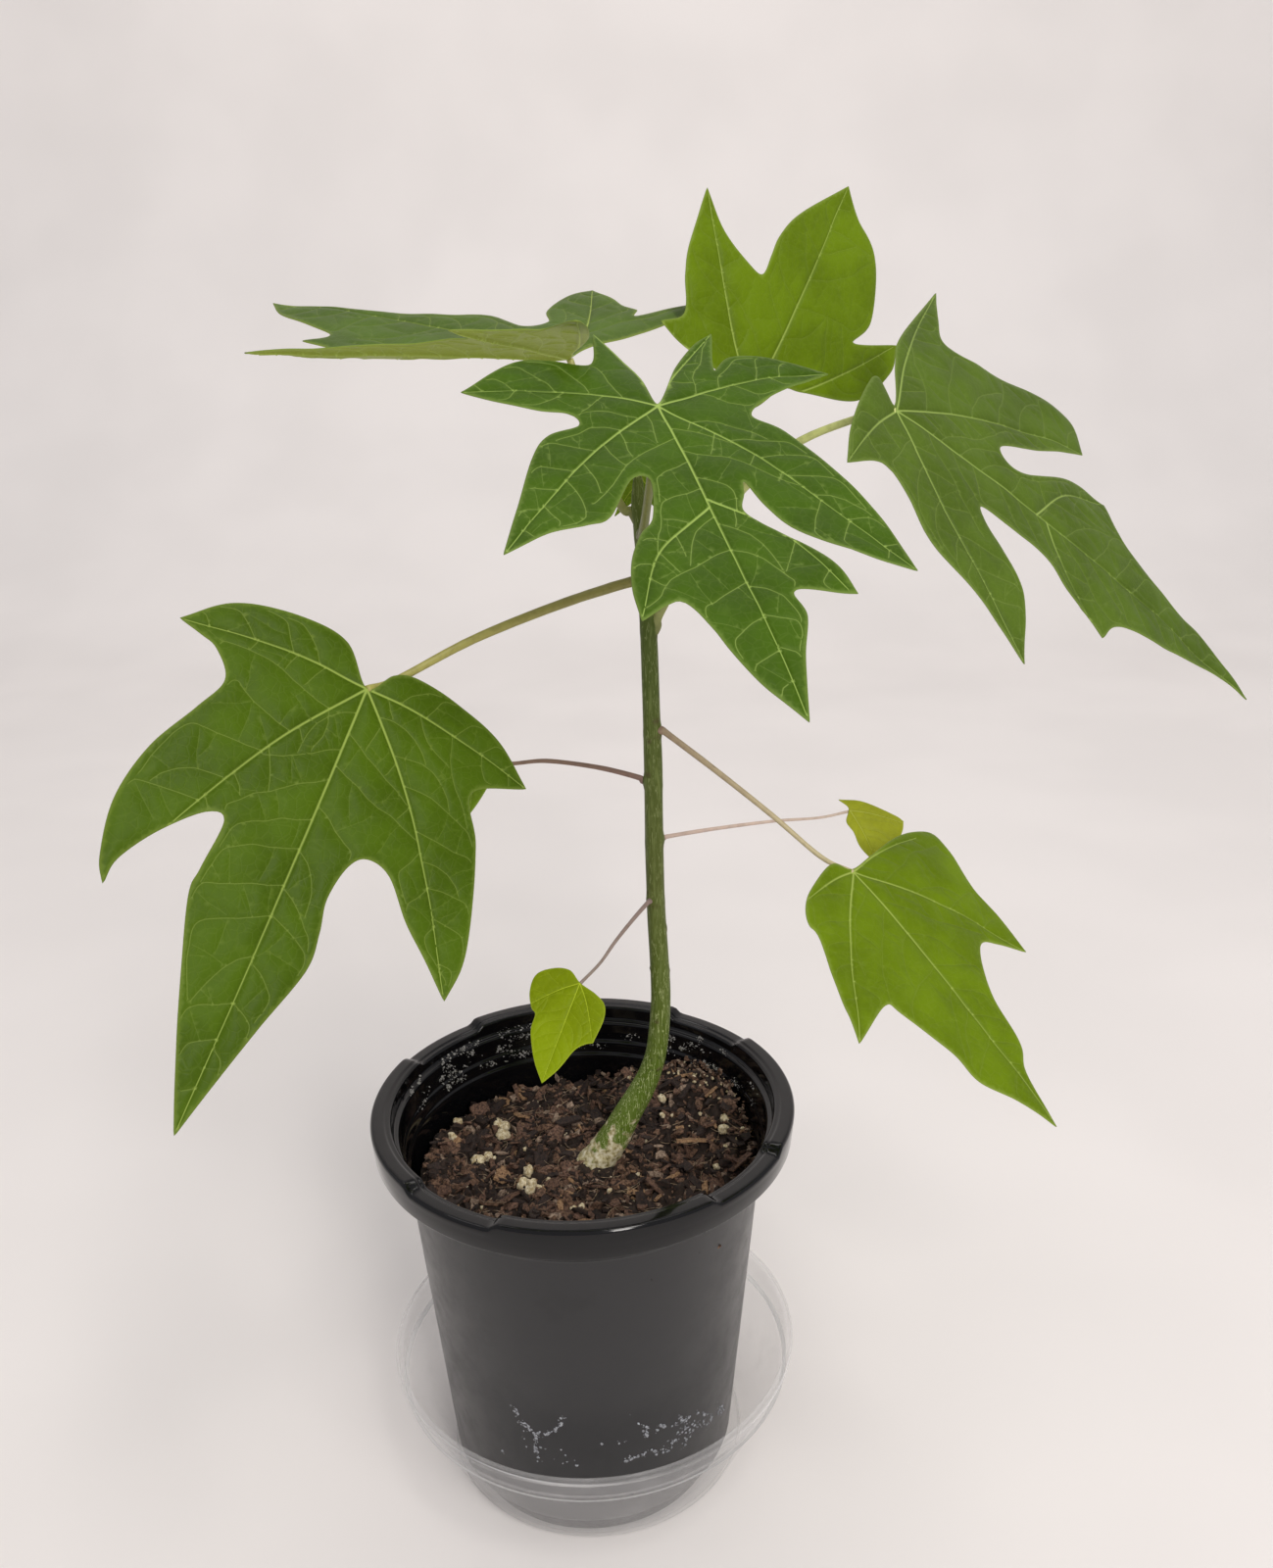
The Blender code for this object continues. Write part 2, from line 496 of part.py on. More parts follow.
def make_stalk(leaf):
    name, hub, face, aim, droop, fold, thick, height, widths, bow = leaf[:10]
    frame = blade_frame(face, aim)
    centre, stem_r = stem_station(height)
    r0 = widths[0] * MM / 2.0
    r1 = widths[1] * MM / 2.0
    goal = Vector(hub) * MM
    toward = goal - centre
    flat = Vector((toward.x, toward.y, 0.0)).normalized()
    lean = toward.normalized()
    start = centre + flat * (stem_r + CLEAR + r0 * abs(lean.z) + 0.0001)
    back = (goal - start).normalized()
    square = math.sqrt(max(0.0, 1.0 - back.dot(frame[0]) ** 2))
    end = goal - frame[0] * (thick * MM / 2.0 + CLEAR + r1 * max(square, 0.5) + 0.0002)
    reach = (goal - start).length
    tuck = end - back * min(0.012, 0.3 * reach) - frame[0] * (0.0016 if square > 0.8 else 0.0004)
    bend = Vector(bow) * MM
    one = start.lerp(tuck, 0.33) + bend
    two = start.lerp(tuck, 0.70) + bend
    stations = [(*start, r0), (*one, r0 * 0.70 + r1 * 0.30), (*two, r0 * 0.35 + r1 * 0.65),
                (*tuck, r1 * 1.02), (*end, r1)]
    if reach < STUB_LENGTH:
        stations = [(*start, r0), (*start.lerp(end, 0.5), (r0 + r1) / 2.0), (*end, r1)]
    return add_node("stalk_" + name, limb(spline(stations, 4), STALK_SIDES), (0.230, 0.190, 0.060), 0.5)


def main():
    clear_scene()
    bpy.context.scene.collection.objects.link(bpy.data.objects.new("papaya", None))
    make_saucer()
    make_pot()
    make_soil()
    make_stem()
    for leaf in LEAVES:
        make_stalk(leaf)
        make_blade(leaf)


main()
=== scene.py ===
import math
import random
from functools import partial

import bmesh
import bpy
import numpy as np
from bpy.props import FloatProperty, FloatVectorProperty, IntProperty, PointerProperty
from mathutils import Matrix, Vector, noise
from mathutils.geometry import delaunay_2d_cdt


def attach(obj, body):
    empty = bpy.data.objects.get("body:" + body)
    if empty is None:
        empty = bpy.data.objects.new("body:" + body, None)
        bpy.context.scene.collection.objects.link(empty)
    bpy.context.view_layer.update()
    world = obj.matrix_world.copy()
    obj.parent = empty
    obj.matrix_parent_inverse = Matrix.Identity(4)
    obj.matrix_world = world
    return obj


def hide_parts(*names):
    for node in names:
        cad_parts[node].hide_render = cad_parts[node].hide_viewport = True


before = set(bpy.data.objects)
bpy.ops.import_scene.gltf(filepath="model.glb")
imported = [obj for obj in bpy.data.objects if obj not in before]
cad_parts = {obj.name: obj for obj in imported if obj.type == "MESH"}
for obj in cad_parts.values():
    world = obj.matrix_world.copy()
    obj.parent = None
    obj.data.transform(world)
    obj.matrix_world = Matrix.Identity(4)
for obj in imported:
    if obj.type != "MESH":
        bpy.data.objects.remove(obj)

bl_info = {
    "name": "Potted papaya plant",
    "version": (1, 0, 0),
    "blender": (4, 5, 0),
    "location": "View3D > Sidebar > Papaya",
    "description": "Young papaya in a nursery pot: veined blades, stalks, stem, soil, pot, clear saucer and stage",
    "category": "Add Mesh",
}

MM = 0.001
TURN = 2.0 * math.pi
# stands for "no vein near" among distances in mm
FAR = 1e9
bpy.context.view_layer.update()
# middle of the saucer and of the stem at soil level, the levels of the soil's surface and of its bank, in m
SAUCER_X, SAUCER_Y = 0.0015, 0.0065
FOOT_X, FOOT_Y = 0.0056, 0.0080
SOIL_LEVEL, BANK_LEVEL = 0.138, 0.150
# how far a side vein grows at a time, in mm on a large blade
STRIDE = 0.9
# the pot's wall: its radius at the foot, the height of that and how much it widens upwards
WALL_RADIUS, WALL_FOOT, WALL_SLOPE = 0.0580, 0.0125, 0.0896
# bearings of the four sunk rim segments, in degrees
NOTCHES = (47.0, 142.0, 236.0, 320.0)
# the camera: place, angle below level, roll, and focal length as a share of the frame's height
CAMERA_PLACE = (0.0235, -0.4513, 0.4500)
CAMERA_PITCH, CAMERA_ROLL, CAMERA_FOCAL = 0.3309, -0.0197, 1350.0 / 1600.0
SENSOR = 36.0

# the stem lies in one plane across the view: its y, its lowest and highest point and its stations,
# each with x, height and diameter, all in mm
STEM_Y, STEM_LOW, STEM_TOP = 8.0, 127.5, 404.0
STEM_PATH = (
    (5.6, 131.9, 14.0), (12.2, 142.6, 12.4), (17.6, 153.0, 10.8), (23.2, 163.4, 9.8), (27.2, 173.0, 8.8),
    (29.8, 184.0, 8.1), (31.3, 203.0, 7.7), (30.9, 222.0, 7.3), (30.0, 243.0, 6.9), (29.7, 272.0, 6.9),
    (29.7, 300.0, 6.7), (29.3, 324.0, 6.3), (28.9, 346.0, 6.0), (27.6, 372.0, 5.4), (26.2, 392.0, 4.8),
    (26.0, 401.0, 3.4), (26.0, 404.0, 1.4),
)

# leaf scars on the stem: height mm, bearing round the stem in degrees, size mm
SCARS = ((216.0, 10.0, 2.6), (217.0, 190.0, 2.2), (234.0, 350.0, 2.2), (196.0, 250.0, 2.0), (186.0, 80.0, 2.4),
         (205.0, 120.0, 2.2), (258.0, 160.0, 1.8), (175.0, 300.0, 2.2),
         (316.5, 300.0, 2.4), (309.0, 250.0, 1.6), (296.5, 235.0, 2.0), (250.0, 210.0, 1.6))

# outline of each blade round its hub, as (bearing in degrees, reach in mm): each run ends at a pointed tip
FRONT_OUTLINE = (
    ((-173, 27), (-176, 15), (156, 1), (149, 25), (146, 40), (142, 50)), ((127, 30), (127, 39), (116, 51), (105, 65)),
    ((98, 43), (78, 28), (65, 38), (50, 56), (42, 72), (33, 92)), ((28, 80), (24, 71), (20, 61), (18, 51), (18, 41),
    (14, 45), (10, 50), (12, 56), (16, 63), (19, 71), (20, 80), (19, 89)), ((8, 83), (7, 92), (3, 105), (0, 123)),
    ((-4, 111), (-7, 100), (-9, 93), (-13, 85), (-16, 86), (-20, 92)), ((-22, 82), (-23, 72), (-22, 61), (-19, 52),
    (-21, 37), (-29, 39), (-31, 56), (-35, 62), (-42, 71), (-46, 83)), ((-52, 66), (-64, 48), (-72, 38), (-74, 27),
    (-87, 28), (-92, 36), (-99, 46), (-106, 57)), ((-127, 45), (-137, 38), (-151, 28), (-170, 43)),
)
LEFT_OUTLINE = (
    ((-99, 46), (-114, 30), (-136, 16), (57, 0), (142, 10), (129, 17), (110, 29), (96, 44), (84, 59)), ((69, 45),
    (58, 58), (46, 78), (41, 89), (36, 97)), ((34, 84), (31, 72), (28, 58), (21, 53), (15, 56), (11, 66), (11, 76),
    (10, 87), (5, 105), (2, 122), (0, 138)), ((-3, 123), (-8, 104), (-16, 82), (-18, 74), (-22, 60), (-27, 62),
    (-30, 75), (-30, 88), (-28, 95)), ((-32, 91), (-40, 80), (-48, 66), (-56, 51), (-66, 42), (-79, 45), (-83, 50),
    (-86, 57)),
)
RIGHT_OUTLINE = (
    ((-124, 26), (-178, 13), (138, 13), (128, 2), (100, 24), (96, 40), (85, 87)), ((82, 68), (75, 57), (60, 70),
    (51, 88), (43, 102), (35, 100)), ((31, 70), (25, 46), (15, 53), (24, 83), (22, 101)), ((12, 107), (5, 131),
    (4, 147), (0, 172)), ((-1, 149), (-7, 121), (-13, 103), (-19, 100)), ((-18, 93), (-18, 79), (-16, 65), (-25, 41),
    (-33, 56), (-38, 73), (-47, 93)), ((-52, 73), (-64, 56), (-75, 39), (-87, 31), (-97, 31), (-108, 41)),
)
BACK_OUTLINE = (
    ((-45, 72), (-53, 52), (-45, 25), (-35, 16), (180, 2), (86, 14), (89, 33), (87, 45)), ((75, 40), (64, 50),
    (56, 59), (43, 75)), ((40, 60), (32, 49), (24, 46), (20, 54), (17, 63), (11, 75), (0, 99)), ((-6, 92), (-15, 87),
    (-28, 69), (-31, 56), (-38, 79)),
)
UPPER_OUTLINE = (
    ((-138, 46), (-140, 23), (180, 1), (104, 30), (95, 56), (83, 43), (73, 47), (55, 59)), ((50, 46), (30, 52),
    (19, 74), (11, 105)), ((2, 88), (-6, 82), (-10, 94)), ((-16, 88), (-23, 114), (-28, 127)), ((-31, 94), (-42, 63),
    (-53, 50), (-58, 34), (-75, 33), (-78, 45), (-88, 58), (-96, 64)), ((-105, 54), (-112, 48), (-120, 46)),
    ((-123, 41), (-129, 53), (-136, 73)),
)
LOWER_OUTLINE = (
    ((-47, 65), (-51, 58), (-64, 40), (-73, 37), (-81, 31), (-91, 22), (-126, 9), (180, 1), (103, 15), (101, 33),
    (98, 46), (93, 54), (82, 53), (64, 54), (53, 62), (43, 71)), ((40, 59), (32, 51), (13, 61), (7, 78), (2, 86),
    (0, 104)), ((-5, 92), (-12, 82), (-16, 71), (-29, 58), (-35, 56), (-44, 72)),
)
LOW_OUTLINE = (
    ((-10, 31), (-25, 24), (-35, 19), (-44, 19), (-62, 18), (-82, 16), (-100, 11), (-121, 6), (180, 0), (73, 7),
    (67, 12), (52, 16), (33, 22)), ((25, 22), (16, 24), (7, 31), (0, 37)),
)
SMALL_OUTLINE = (
    ((-8, 15), (-14, 9), (-40, 5), (180, 1), (-157, 6)), ((104, 7), (68, 18), (62, 22)), ((51, 22), (31, 22),
    (4, 24)),
)
HIDDEN_OUTLINE = (
    ((-66, 18), (-92, 14), (-120, 8), (180, 1), (120, 8), (92, 14), (66, 18), (47, 25)), ((30, 22), (14, 28),
    (0, 42)), ((-14, 28), (-30, 22), (-47, 25)),
)
YOUNG_OUTLINE = (
    ((-60, 8), (180, 1), (70, 5), (36, 16)), ((22, 9), (0, 7), (-20, 9), (-30, 15)), ((-46, 14),),
)

# each leaf, sizes in mm: hub; the way its top faces; the way its middle lobe points; droop toward the margin; fold
# along the middle; height of the stalk on the stem, its widths at both ends, how far it bows and arches (rise);
# thickness of the CAD's blade, which the stalk ends under; outline; lobes with a main vein (bearing, reach) and
# branch veins (reach along the midrib, bearing, reach); how much the side veins show; colours of the blade, its
# underside and its veins; colours of the stalk at the stem and at the blade
LEAVES = {
    "front": dict(hub=(32, -50, 429), face=(0.15, -0.48, 0.87), aim=(0.28, -0.82, -0.50), droop=5.0,
                  height=384.0, widths=(3.2, 2.2), bow=(0, 0, -3), thick=1.5, outline=FRONT_OUTLINE,
                  mains=((0, 123), (33, 92), (-46, 83), (105, 65), (-106, 57), (142, 50), (-170, 43)),
                  branches=((44, 18, 88), (46, -20, 92)),
                  # the front stalk's darker stem end is partly painted shade, where it runs in shade under the blades
                  veins=1.0, tints=("#3d5908", "#7a8f4a", "#9db65c"), stalk=("#666a34", "#7f8440")),
    "left": dict(hub=(-58, -60, 348), face=(0.48, -0.70, 0.53), aim=(-0.27, -0.69, -0.67), droop=8.0,
                 height=367.0, widths=(3.6, 2.4), bow=(0, 0, 3), thick=1.6, outline=LEFT_OUTLINE,
                 mains=((0, 138), (36, 97), (-28, 95), (84, 59), (-86, 57)),
                 veins=0.62, tints=("#445c08", "#7f9440", "#96aa50"), stalk=("#7f7440", "#a19d50")),
    "right": dict(hub=(110, -10, 424), face=(0.50, -0.55, 0.67), aim=(0.83, 0.08, -0.56), droop=5.0,
                  height=351.0, widths=(3.4, 2.4), rise=8.0, bow=(-6, 0, 10), thick=1.9, outline=RIGHT_OUTLINE,
                  mains=((0, 172), (35, 100), (-47, 93), (85, 87), (-108, 41)),
                  branches=((60, 22, 101), (66, -19, 100)),
                  # the right stalk's dark stem end is partly painted shade, and its pale blade end is partly painted
                  # light
                  veins=0.62, tints=("#4d631b", "#7d9348", "#93a957"), stalk=("#676b30", "#c9cf82")),
    "back": dict(hub=(68, 45, 424), face=(0.53, -0.83, 0.19), aim=(0.44, 0.46, 0.78), droop=6.0,
                 height=376.0, widths=(3.2, 2.0), bow=(0, 0, -3), thick=1.2, outline=BACK_OUTLINE,
                 mains=((0, 99), (43, 75), (-38, 79), (87, 45)),
                 # the back blade's lighter, yellower colour is partly painted light: light shining through the blade
                 veins=0.25, tints=("#5e7608", "#83964a", "#9aae52"), stalk=("#6a6f2e", "#a2a058")),
    "upper": dict(hub=(4, 15, 442), face=(0.0, -0.075, 1.0), aim=(-1.0, 0.0, 0.0), droop=0.0, fold=0.275,
                  height=391.0, widths=(3.0, 2.2), bow=(-2, 0, -2), thick=1.6, outline=UPPER_OUTLINE,
                  mains=((11, 105), (-28, 127), (55, 59), (95, 56), (-96, 64), (-136, 73)),
                  veins=0.6, tints=("#4c6421", "#8d9c3e", "#a6b85c"), stalk=("#6a6f2e", "#a9a765")),
    "lower": dict(hub=(98, -30, 272), face=(0.40, -0.36, 0.84), aim=(0.57, -0.62, -0.54), droop=8.0,
                  height=313.0, widths=(2.4, 1.7), bow=(0, 0, 1), thick=1.3, outline=LOWER_OUTLINE,
                  mains=((0, 104), (43, 71), (-44, 72), (95, 44), (-84, 30)),
                  veins=0.28, tints=("#627a08", "#8da04a", "#a3b558"), stalk=("#87695c", "#c0b68a")),
    "low": dict(hub=(2, -30, 231), face=(-0.10, -0.72, 0.68), aim=(-0.36, -0.61, -0.70), droop=10.0,
                height=246.6, widths=(1.7, 1.1), bow=(0, 0, 1), thick=0.8, outline=LOW_OUTLINE,
                mains=((0, 37), (33, 21), (-48, 19)),
                veins=0.60, tints=("#7f9208", "#9fae45", "#c0d238"), stalk=("#8c7370", "#9a8a80")),
    "small": dict(hub=(106, 30, 272), face=(0.20, -0.72, 0.66), aim=(0.34, -0.58, -0.74), droop=10.0,
                  height=270.5, widths=(1.6, 1.0), bow=(0, 0, 1), thick=0.8, outline=SMALL_OUTLINE,
                  mains=((4, 24), (60, 22)),
                  veins=0.25, tints=("#969c25", "#a8b14a", "#b8bf55"), stalk=("#b79c92", "#d6c2b2")),
    "hidden": dict(hub=(-38, 20, 301), face=(-0.30, -0.62, 0.72), aim=(-0.70, -0.40, -0.55), droop=10.0,
                   height=293.3, widths=(2.0, 1.4), bow=(0, 0, 3), thick=0.9, outline=HIDDEN_OUTLINE,
                   mains=((0, 42), (47, 25), (-47, 25)),
                   veins=0.4, tints=("#6b8819", "#8da04a", "#a3b558"), stalk=("#7c5f58", "#8c7460")),
    "young": dict(hub=(27.4, 17.5, 401), face=(-0.05, 1.00, 0.10), aim=(-0.02, 0.08, -1.00), droop=6.0,
                  height=397.0, widths=(1.4, 0.9), bow=(0, 0, 1), thick=0.6, outline=YOUNG_OUTLINE,
                  mains=((36, 16), (-30, 15)),
                  veins=0.3, tints=("#5f7d12", "#688419", "#9cab3c"), stalk=("#747a10", "#7c8410")),
}


def linear(code):
    """sRGB hex to a linear colour with alpha."""
    out = []
    for i in (1, 3, 5):
        c = int(code[i:i + 2], 16) / 255.0
        out.append(c / 12.92 if c <= 0.04045 else ((c + 0.055) / 1.055) ** 2.4)
    return (*out, 1.0)


def metres(name, description, default):
    return FloatProperty(name=name, description=description, default=default, unit="LENGTH")


def watts(name, description, default):
    return FloatProperty(name=name, description=description, default=default, unit="POWER")


def colour(name, description, default):
    return FloatVectorProperty(name=name, description=description, default=linear(default)[:3], subtype="COLOR",
                               min=0.0, max=1.0)


def amount(name, description, default):
    return IntProperty(name=name, description=description, default=default, min=0)


class PotSettings(bpy.types.PropertyGroup):
    rim_radius: metres("Rim radius", "Outer radius of the rim", 0.0825)
    height: metres("Rim height", "Height of the rim over the floor", 0.1655)
    notch_depth: metres("Notch depth", "Depth of the four sunk rim segments", 0.0023)
    wall: colour("Wall", "Colour of the moulded wall", "#1d1d1f")
    rim: colour("Rim", "Colour of the polished rim", "#0a0a0c")


class SaucerSettings(bpy.types.PropertyGroup):
    clearness: FloatProperty(name="Clearness", description="How much shows through the flat of the sheet",
                             default=0.78, min=0.0, max=1.0, subtype="FACTOR")
    tint: colour("Tint", "Colour of the vinyl", "#f0efef")


class SoilSettings(bpy.types.PropertyGroup):
    crumbs: amount("Crumbs", "Loose crumbs on the soil", 2600)
    chips: amount("Bark chips", "Flakes of bark in the mix", 1100)
    fibres: amount("Fibres", "Dry root fibres lying on the mix", 240)
    perlite: amount("Perlite", "Small white perlite grains", 95)
    # the earth colour is darker partly as painted shade of the gaps between crumbs
    earth: colour("Earth", "Colour of the damp mix", "#291d16")


class LeafSettings(bpy.types.PropertyGroup):
    lamina: metres("Blade thickness", "Thickness between veins", 0.00050)
    groove: metres("Vein groove", "Depth of a main vein in the top", 0.00030)
    rib: metres("Vein rib", "Height of a main vein under the blade", 0.00080)
    quilt: metres("Quilting", "How far the blade swells between veins", 0.00055)
    wave: metres("Wave", "Waviness of the margin", 0.0014)
    spacing: metres("Mesh spacing", "Distance between mesh points on a large blade", 0.0013)


class StageSettings(bpy.types.PropertyGroup):
    floor: colour("Floor", "Colour of the pale floor and its sweep", "#f0ece9")
    key: watts("Key light", "Power of the soft key light", 31.0)
    far: watts("Far light", "Power of the light on the far sweep", 13.0)
    sky: FloatProperty(name="Room light", description="Strength of the light from all round", default=0.52)


class PapayaSettings(bpy.types.PropertyGroup):
    pot: PointerProperty(type=PotSettings)
    saucer: PointerProperty(type=SaucerSettings)
    soil: PointerProperty(type=SoilSettings)
    leaf: PointerProperty(type=LeafSettings)
    stage: PointerProperty(type=StageSettings)


def scaled(tone, k):
    return (*(min(c * k, 1.0) for c in tone[:3]), 1.0)


# the nodes in use: type, settings, the sockets that values or links go to in order, and the output that is read
NODES = {
    "place": ("TexCoord", {}, (), "Object"),
    "plane": ("UVMap", {"uv_map": "plane"}, (), "UV"),
    "stored": ("Attribute", {}, (), "Fac"),
    "facing": ("LayerWeight", {}, ("Blend",), "Facing"),
    "stretch": ("Mapping", {}, ("Vector", "Scale"), 0),
    "noise": ("TexNoise", {}, ("Vector", "Scale", "Detail", "Roughness"), "Fac"),
    "cells": ("TexVoronoi", {"feature": "DISTANCE_TO_EDGE"}, ("Vector", "Scale", "Randomness"), "Distance"),
    "ramp": ("ValToRGB", {}, ("Fac",), "Color"),
    "mix": ("Mix", {"data_type": "RGBA"}, (0, 6, 7), 2),
    "span": ("MapRange", {"interpolation_type": "SMOOTHSTEP"},
             ("Value", "From Min", "From Max", "To Min", "To Max"), "Result"),
    "times": ("Math", {"operation": "MULTIPLY"}, (0, 1), 0),
    "plus": ("Math", {"operation": "ADD"}, (0, 1), 0),
    "minus": ("Math", {"operation": "SUBTRACT"}, (0, 1), 0),
    "size": ("Math", {"operation": "ABSOLUTE"}, (0,), 0),
    "most": ("Math", {"operation": "MAXIMUM"}, (0, 1), 0),
    "bump": ("Bump", {}, ("Height", "Strength", "Distance"), "Normal"),
}


def feed(tree, socket, value):
    """Link the socket to another one, or set its value."""
    if isinstance(value, bpy.types.NodeSocket):
        tree.links.new(value, socket)
    else:
        socket.default_value = value


def add_node(tree, kind, *values, **settings):
    """Add a shader node with its settings, values and links, and give its output."""
    node_type, fixed, sockets, output = NODES[kind]
    made = tree.nodes.new("ShaderNode" + node_type)
    for key, value in {**fixed, **settings}.items():
        setattr(made, key, value)
    for key, value in zip(sockets, values):
        feed(tree, made.inputs[key], value)
    return made.outputs[output]


def new_material(name):
    """A material and the function that adds nodes to it."""
    made = bpy.data.materials.new(name)
    made.use_nodes = True
    return made, partial(add_node, made.node_tree)


def dress(made, **values):
    """Link or set sockets of the material's shader, with _ for a blank in their names."""
    tree = made.node_tree
    for key, value in values.items():
        feed(tree, tree.nodes["Principled BSDF"].inputs[key.replace("_", " ")], value)


def leaf_blade_material(name, tints, shown):
    """Living papaya blade: smooth, satin, waxy skin over even green tissue, fine pale veins and a barely visible
    net of veinlets, with a paler, duller underside. Net cells are 3 mm across and the mottling 2 to 25 mm."""
    made, add = new_material(name)
    blade, under, vein = (linear(code) for code in tints)
    plane = add("plane")
    # the blade's own plane is mapped at 100 mm to one unit
    net = add("span", add("cells", plane, 100.0 / 3.0, 1.0), 0.0, 0.09, 1.0, 0.0)
    broad = add("noise", plane, 4.0, 3.0)
    speck = add("noise", plane, 48.0, 4.0)
    base = add("mix", add("span", broad, 0.36, 0.64), scaled(blade, 0.86), scaled(blade, 1.12))
    base = add("mix", add("span", speck, 0.40, 0.72, 0.0, 0.16), base, scaled(blade, 1.35))

    def read(key, gain):
        return add("times", add("stored", attribute_name=key), gain)

    base = add("mix", read("halo", 0.22), base, scaled(blade, 0.70))
    base = add("mix", add("times", net, 0.05), base, scaled(vein, 0.8))
    for key, gain, light in (("third", 0.30 * shown, 0.75), ("second", 0.62 * shown, 0.85), ("vein", 0.95, 1.0)):
        base = add("mix", read(key, gain), base, scaled(vein, light))
    back = under
    for key, gain, light in (("third", 0.45, 1.05), ("second", 0.60, 1.15), ("vein", 0.85, 1.25)):
        back = add("mix", read(key, gain), back, scaled(vein, light))
    back = add("mix", add("times", net, 0.15), back, scaled(vein, 1.05))
    tone = add("mix", add("stored", attribute_name="under"), base, back)
    tone = add("mix", read("rim", 0.35), tone, scaled(vein, 0.8))
    height = add("plus", add("times", net, -0.5), add("times", speck, 0.6))
    dress(made, Base_Color=tone, Roughness=add("span", broad, 0.3, 0.7, 0.42, 0.52), IOR=1.42,
          Specular_IOR_Level=0.13, Normal=add("bump", height, 0.40, 0.00018))
    return made


def stem_material():
    """Green seedling stem: smooth satin skin with pale lengthwise streaks, turning to dull cream cork at the foot."""
    made, add = new_material("green_stem_skin")
    age = add("stored", attribute_name="age")
    place = add("place")
    # streaks 1 mm apart round the stem and 12 mm long
    streak = add("noise", add("stretch", place, (900.0, 900.0, 85.0)), 1.0, 4.0)
    # flecks 1.6 mm and cork patches 7 mm across
    fleck = add("noise", place, 620.0, 5.0)
    patch = add("noise", place, 150.0, 4.0)
    along = add("ramp", age)
    pale = add("mix", add("span", streak, 0.52, 0.66, 0.0, 0.30), along, linear("#8a965a"))
    line = add("size", add("minus", streak, 0.47))
    young = add("times", add("span", line, 0.006, 0.022, 0.9, 0.0), add("span", age, 0.10, 0.40, 1.0, 0.25))
    pale = add("mix", young, pale, linear("#c3cc8e"))
    low = add("span", age, 0.12, 0.40, 0.50, 0.06)
    dark = add("mix", add("times", add("span", fleck, 0.58, 0.68), low), pale, linear("#37421a"))
    cork = add("span", add("plus", add("times", patch, 0.16), age), 0.136, 0.150, 1.0, 0.0)
    corky = add("ramp", fleck)
    for socket, stops in ((along, ((0.0, "#66792e"), (0.12, "#5d7424"), (0.25, "#54641f"),
                                   (0.45, "#4e571f"), (0.8, "#49581a"), (1.0, "#4f5c1a"))),
                          (corky, ((0.30, "#6f6440"), (0.42, "#b2a678"), (0.52, "#d3c9a4"), (0.70, "#efe8cf")))):
        elements = socket.node.color_ramp.elements
        while len(elements) < len(stops):
            elements.new(0.5)
        for element, (at, code) in zip(elements, stops):
            element.position = at
            element.color = linear(code)
    base = add("mix", cork, dark, corky)
    base = add("mix", add("times", add("stored", attribute_name="scar"), 0.8), base, linear("#4a3d24"))
    height = add("plus", streak, add("times", fleck, 0.8))
    dress(made, Base_Color=base, Roughness=0.50, Specular_IOR_Level=0.25, Normal=add("bump", height, 0.3, 0.0003))
    return made


def stalk_material(name, hexes):
    """Leaf stalk: smooth satin skin, flushed mauve or olive near the stem and paler near the blade; on the front and
    right stalks the darker stem end is partly painted shade, and on the right one the pale blade end is partly painted
    light.
    """
    made, add = new_material(name)
    # flecks 2.4 mm long
    fleck = add("noise", add("place"), 420.0, 4.0)
    base = add("mix", add("stored", attribute_name="along"), linear(hexes[0]), linear(hexes[1]))
    base = add("mix", add("span", fleck, 0.42, 0.72, 0.0, 0.30), base, scaled(linear(hexes[0]), 0.60))
    dress(made, Base_Color=base, Roughness=0.45, Normal=add("bump", fleck, 0.3, 0.0002))
    return made


def pot_wall_material(tone):
    """Moulded polyethylene pot wall: satin charcoal with a fine dull grain, faint rub marks and damp patches."""
    made, add = new_material("moulded_polyethylene_wall")
    place = add("place")
    # grain 0.5 mm, scuffs 12 mm, damp patches 30 mm
    grain = add("noise", place, 1900.0, 2.0)
    scuff = add("noise", place, 85.0, 6.0, 0.7)
    damp = add("noise", place, 34.0, 5.0)
    base = add("mix", add("span", scuff, 0.55, 0.78, 0.0, 0.25), (*tone, 1.0), scaled(tone, 1.8))
    base = add("mix", add("span", damp, 0.60, 0.68, 0.0, 0.45), base, scaled(tone, 0.45))
    height = add("plus", add("times", grain, 0.6), add("times", scuff, 1.5))
    dress(made, Base_Color=base, Roughness=add("span", scuff, 0.3, 0.8, 0.28, 0.42), IOR=1.51,
          Normal=add("bump", height, 0.30, 0.00010))
    return made


def pot_rim_material(tone):
    """Polished polyethylene rim: near-black and glossy, with fine dust and handling marks."""
    made, add = new_material("polished_polyethylene_rim")
    place = add("place")
    # dust 1.4 mm apart, finer in life but drawn so that it shows, and hand smears 17 mm wide
    dust = add("noise", place, 700.0, 6.0, 0.8)
    smear = add("noise", place, 60.0, 4.0)
    base = add("mix", add("span", dust, 0.66, 0.74, 0.0, 0.55), (*tone, 1.0), linear("#77746e"))
    dress(made, Base_Color=base, Roughness=add("span", smear, 0.35, 0.75, 0.07, 0.15), IOR=1.51,
          Specular_IOR_Level=0.32, Normal=add("bump", smear, 0.25, 0.0003))
    return made


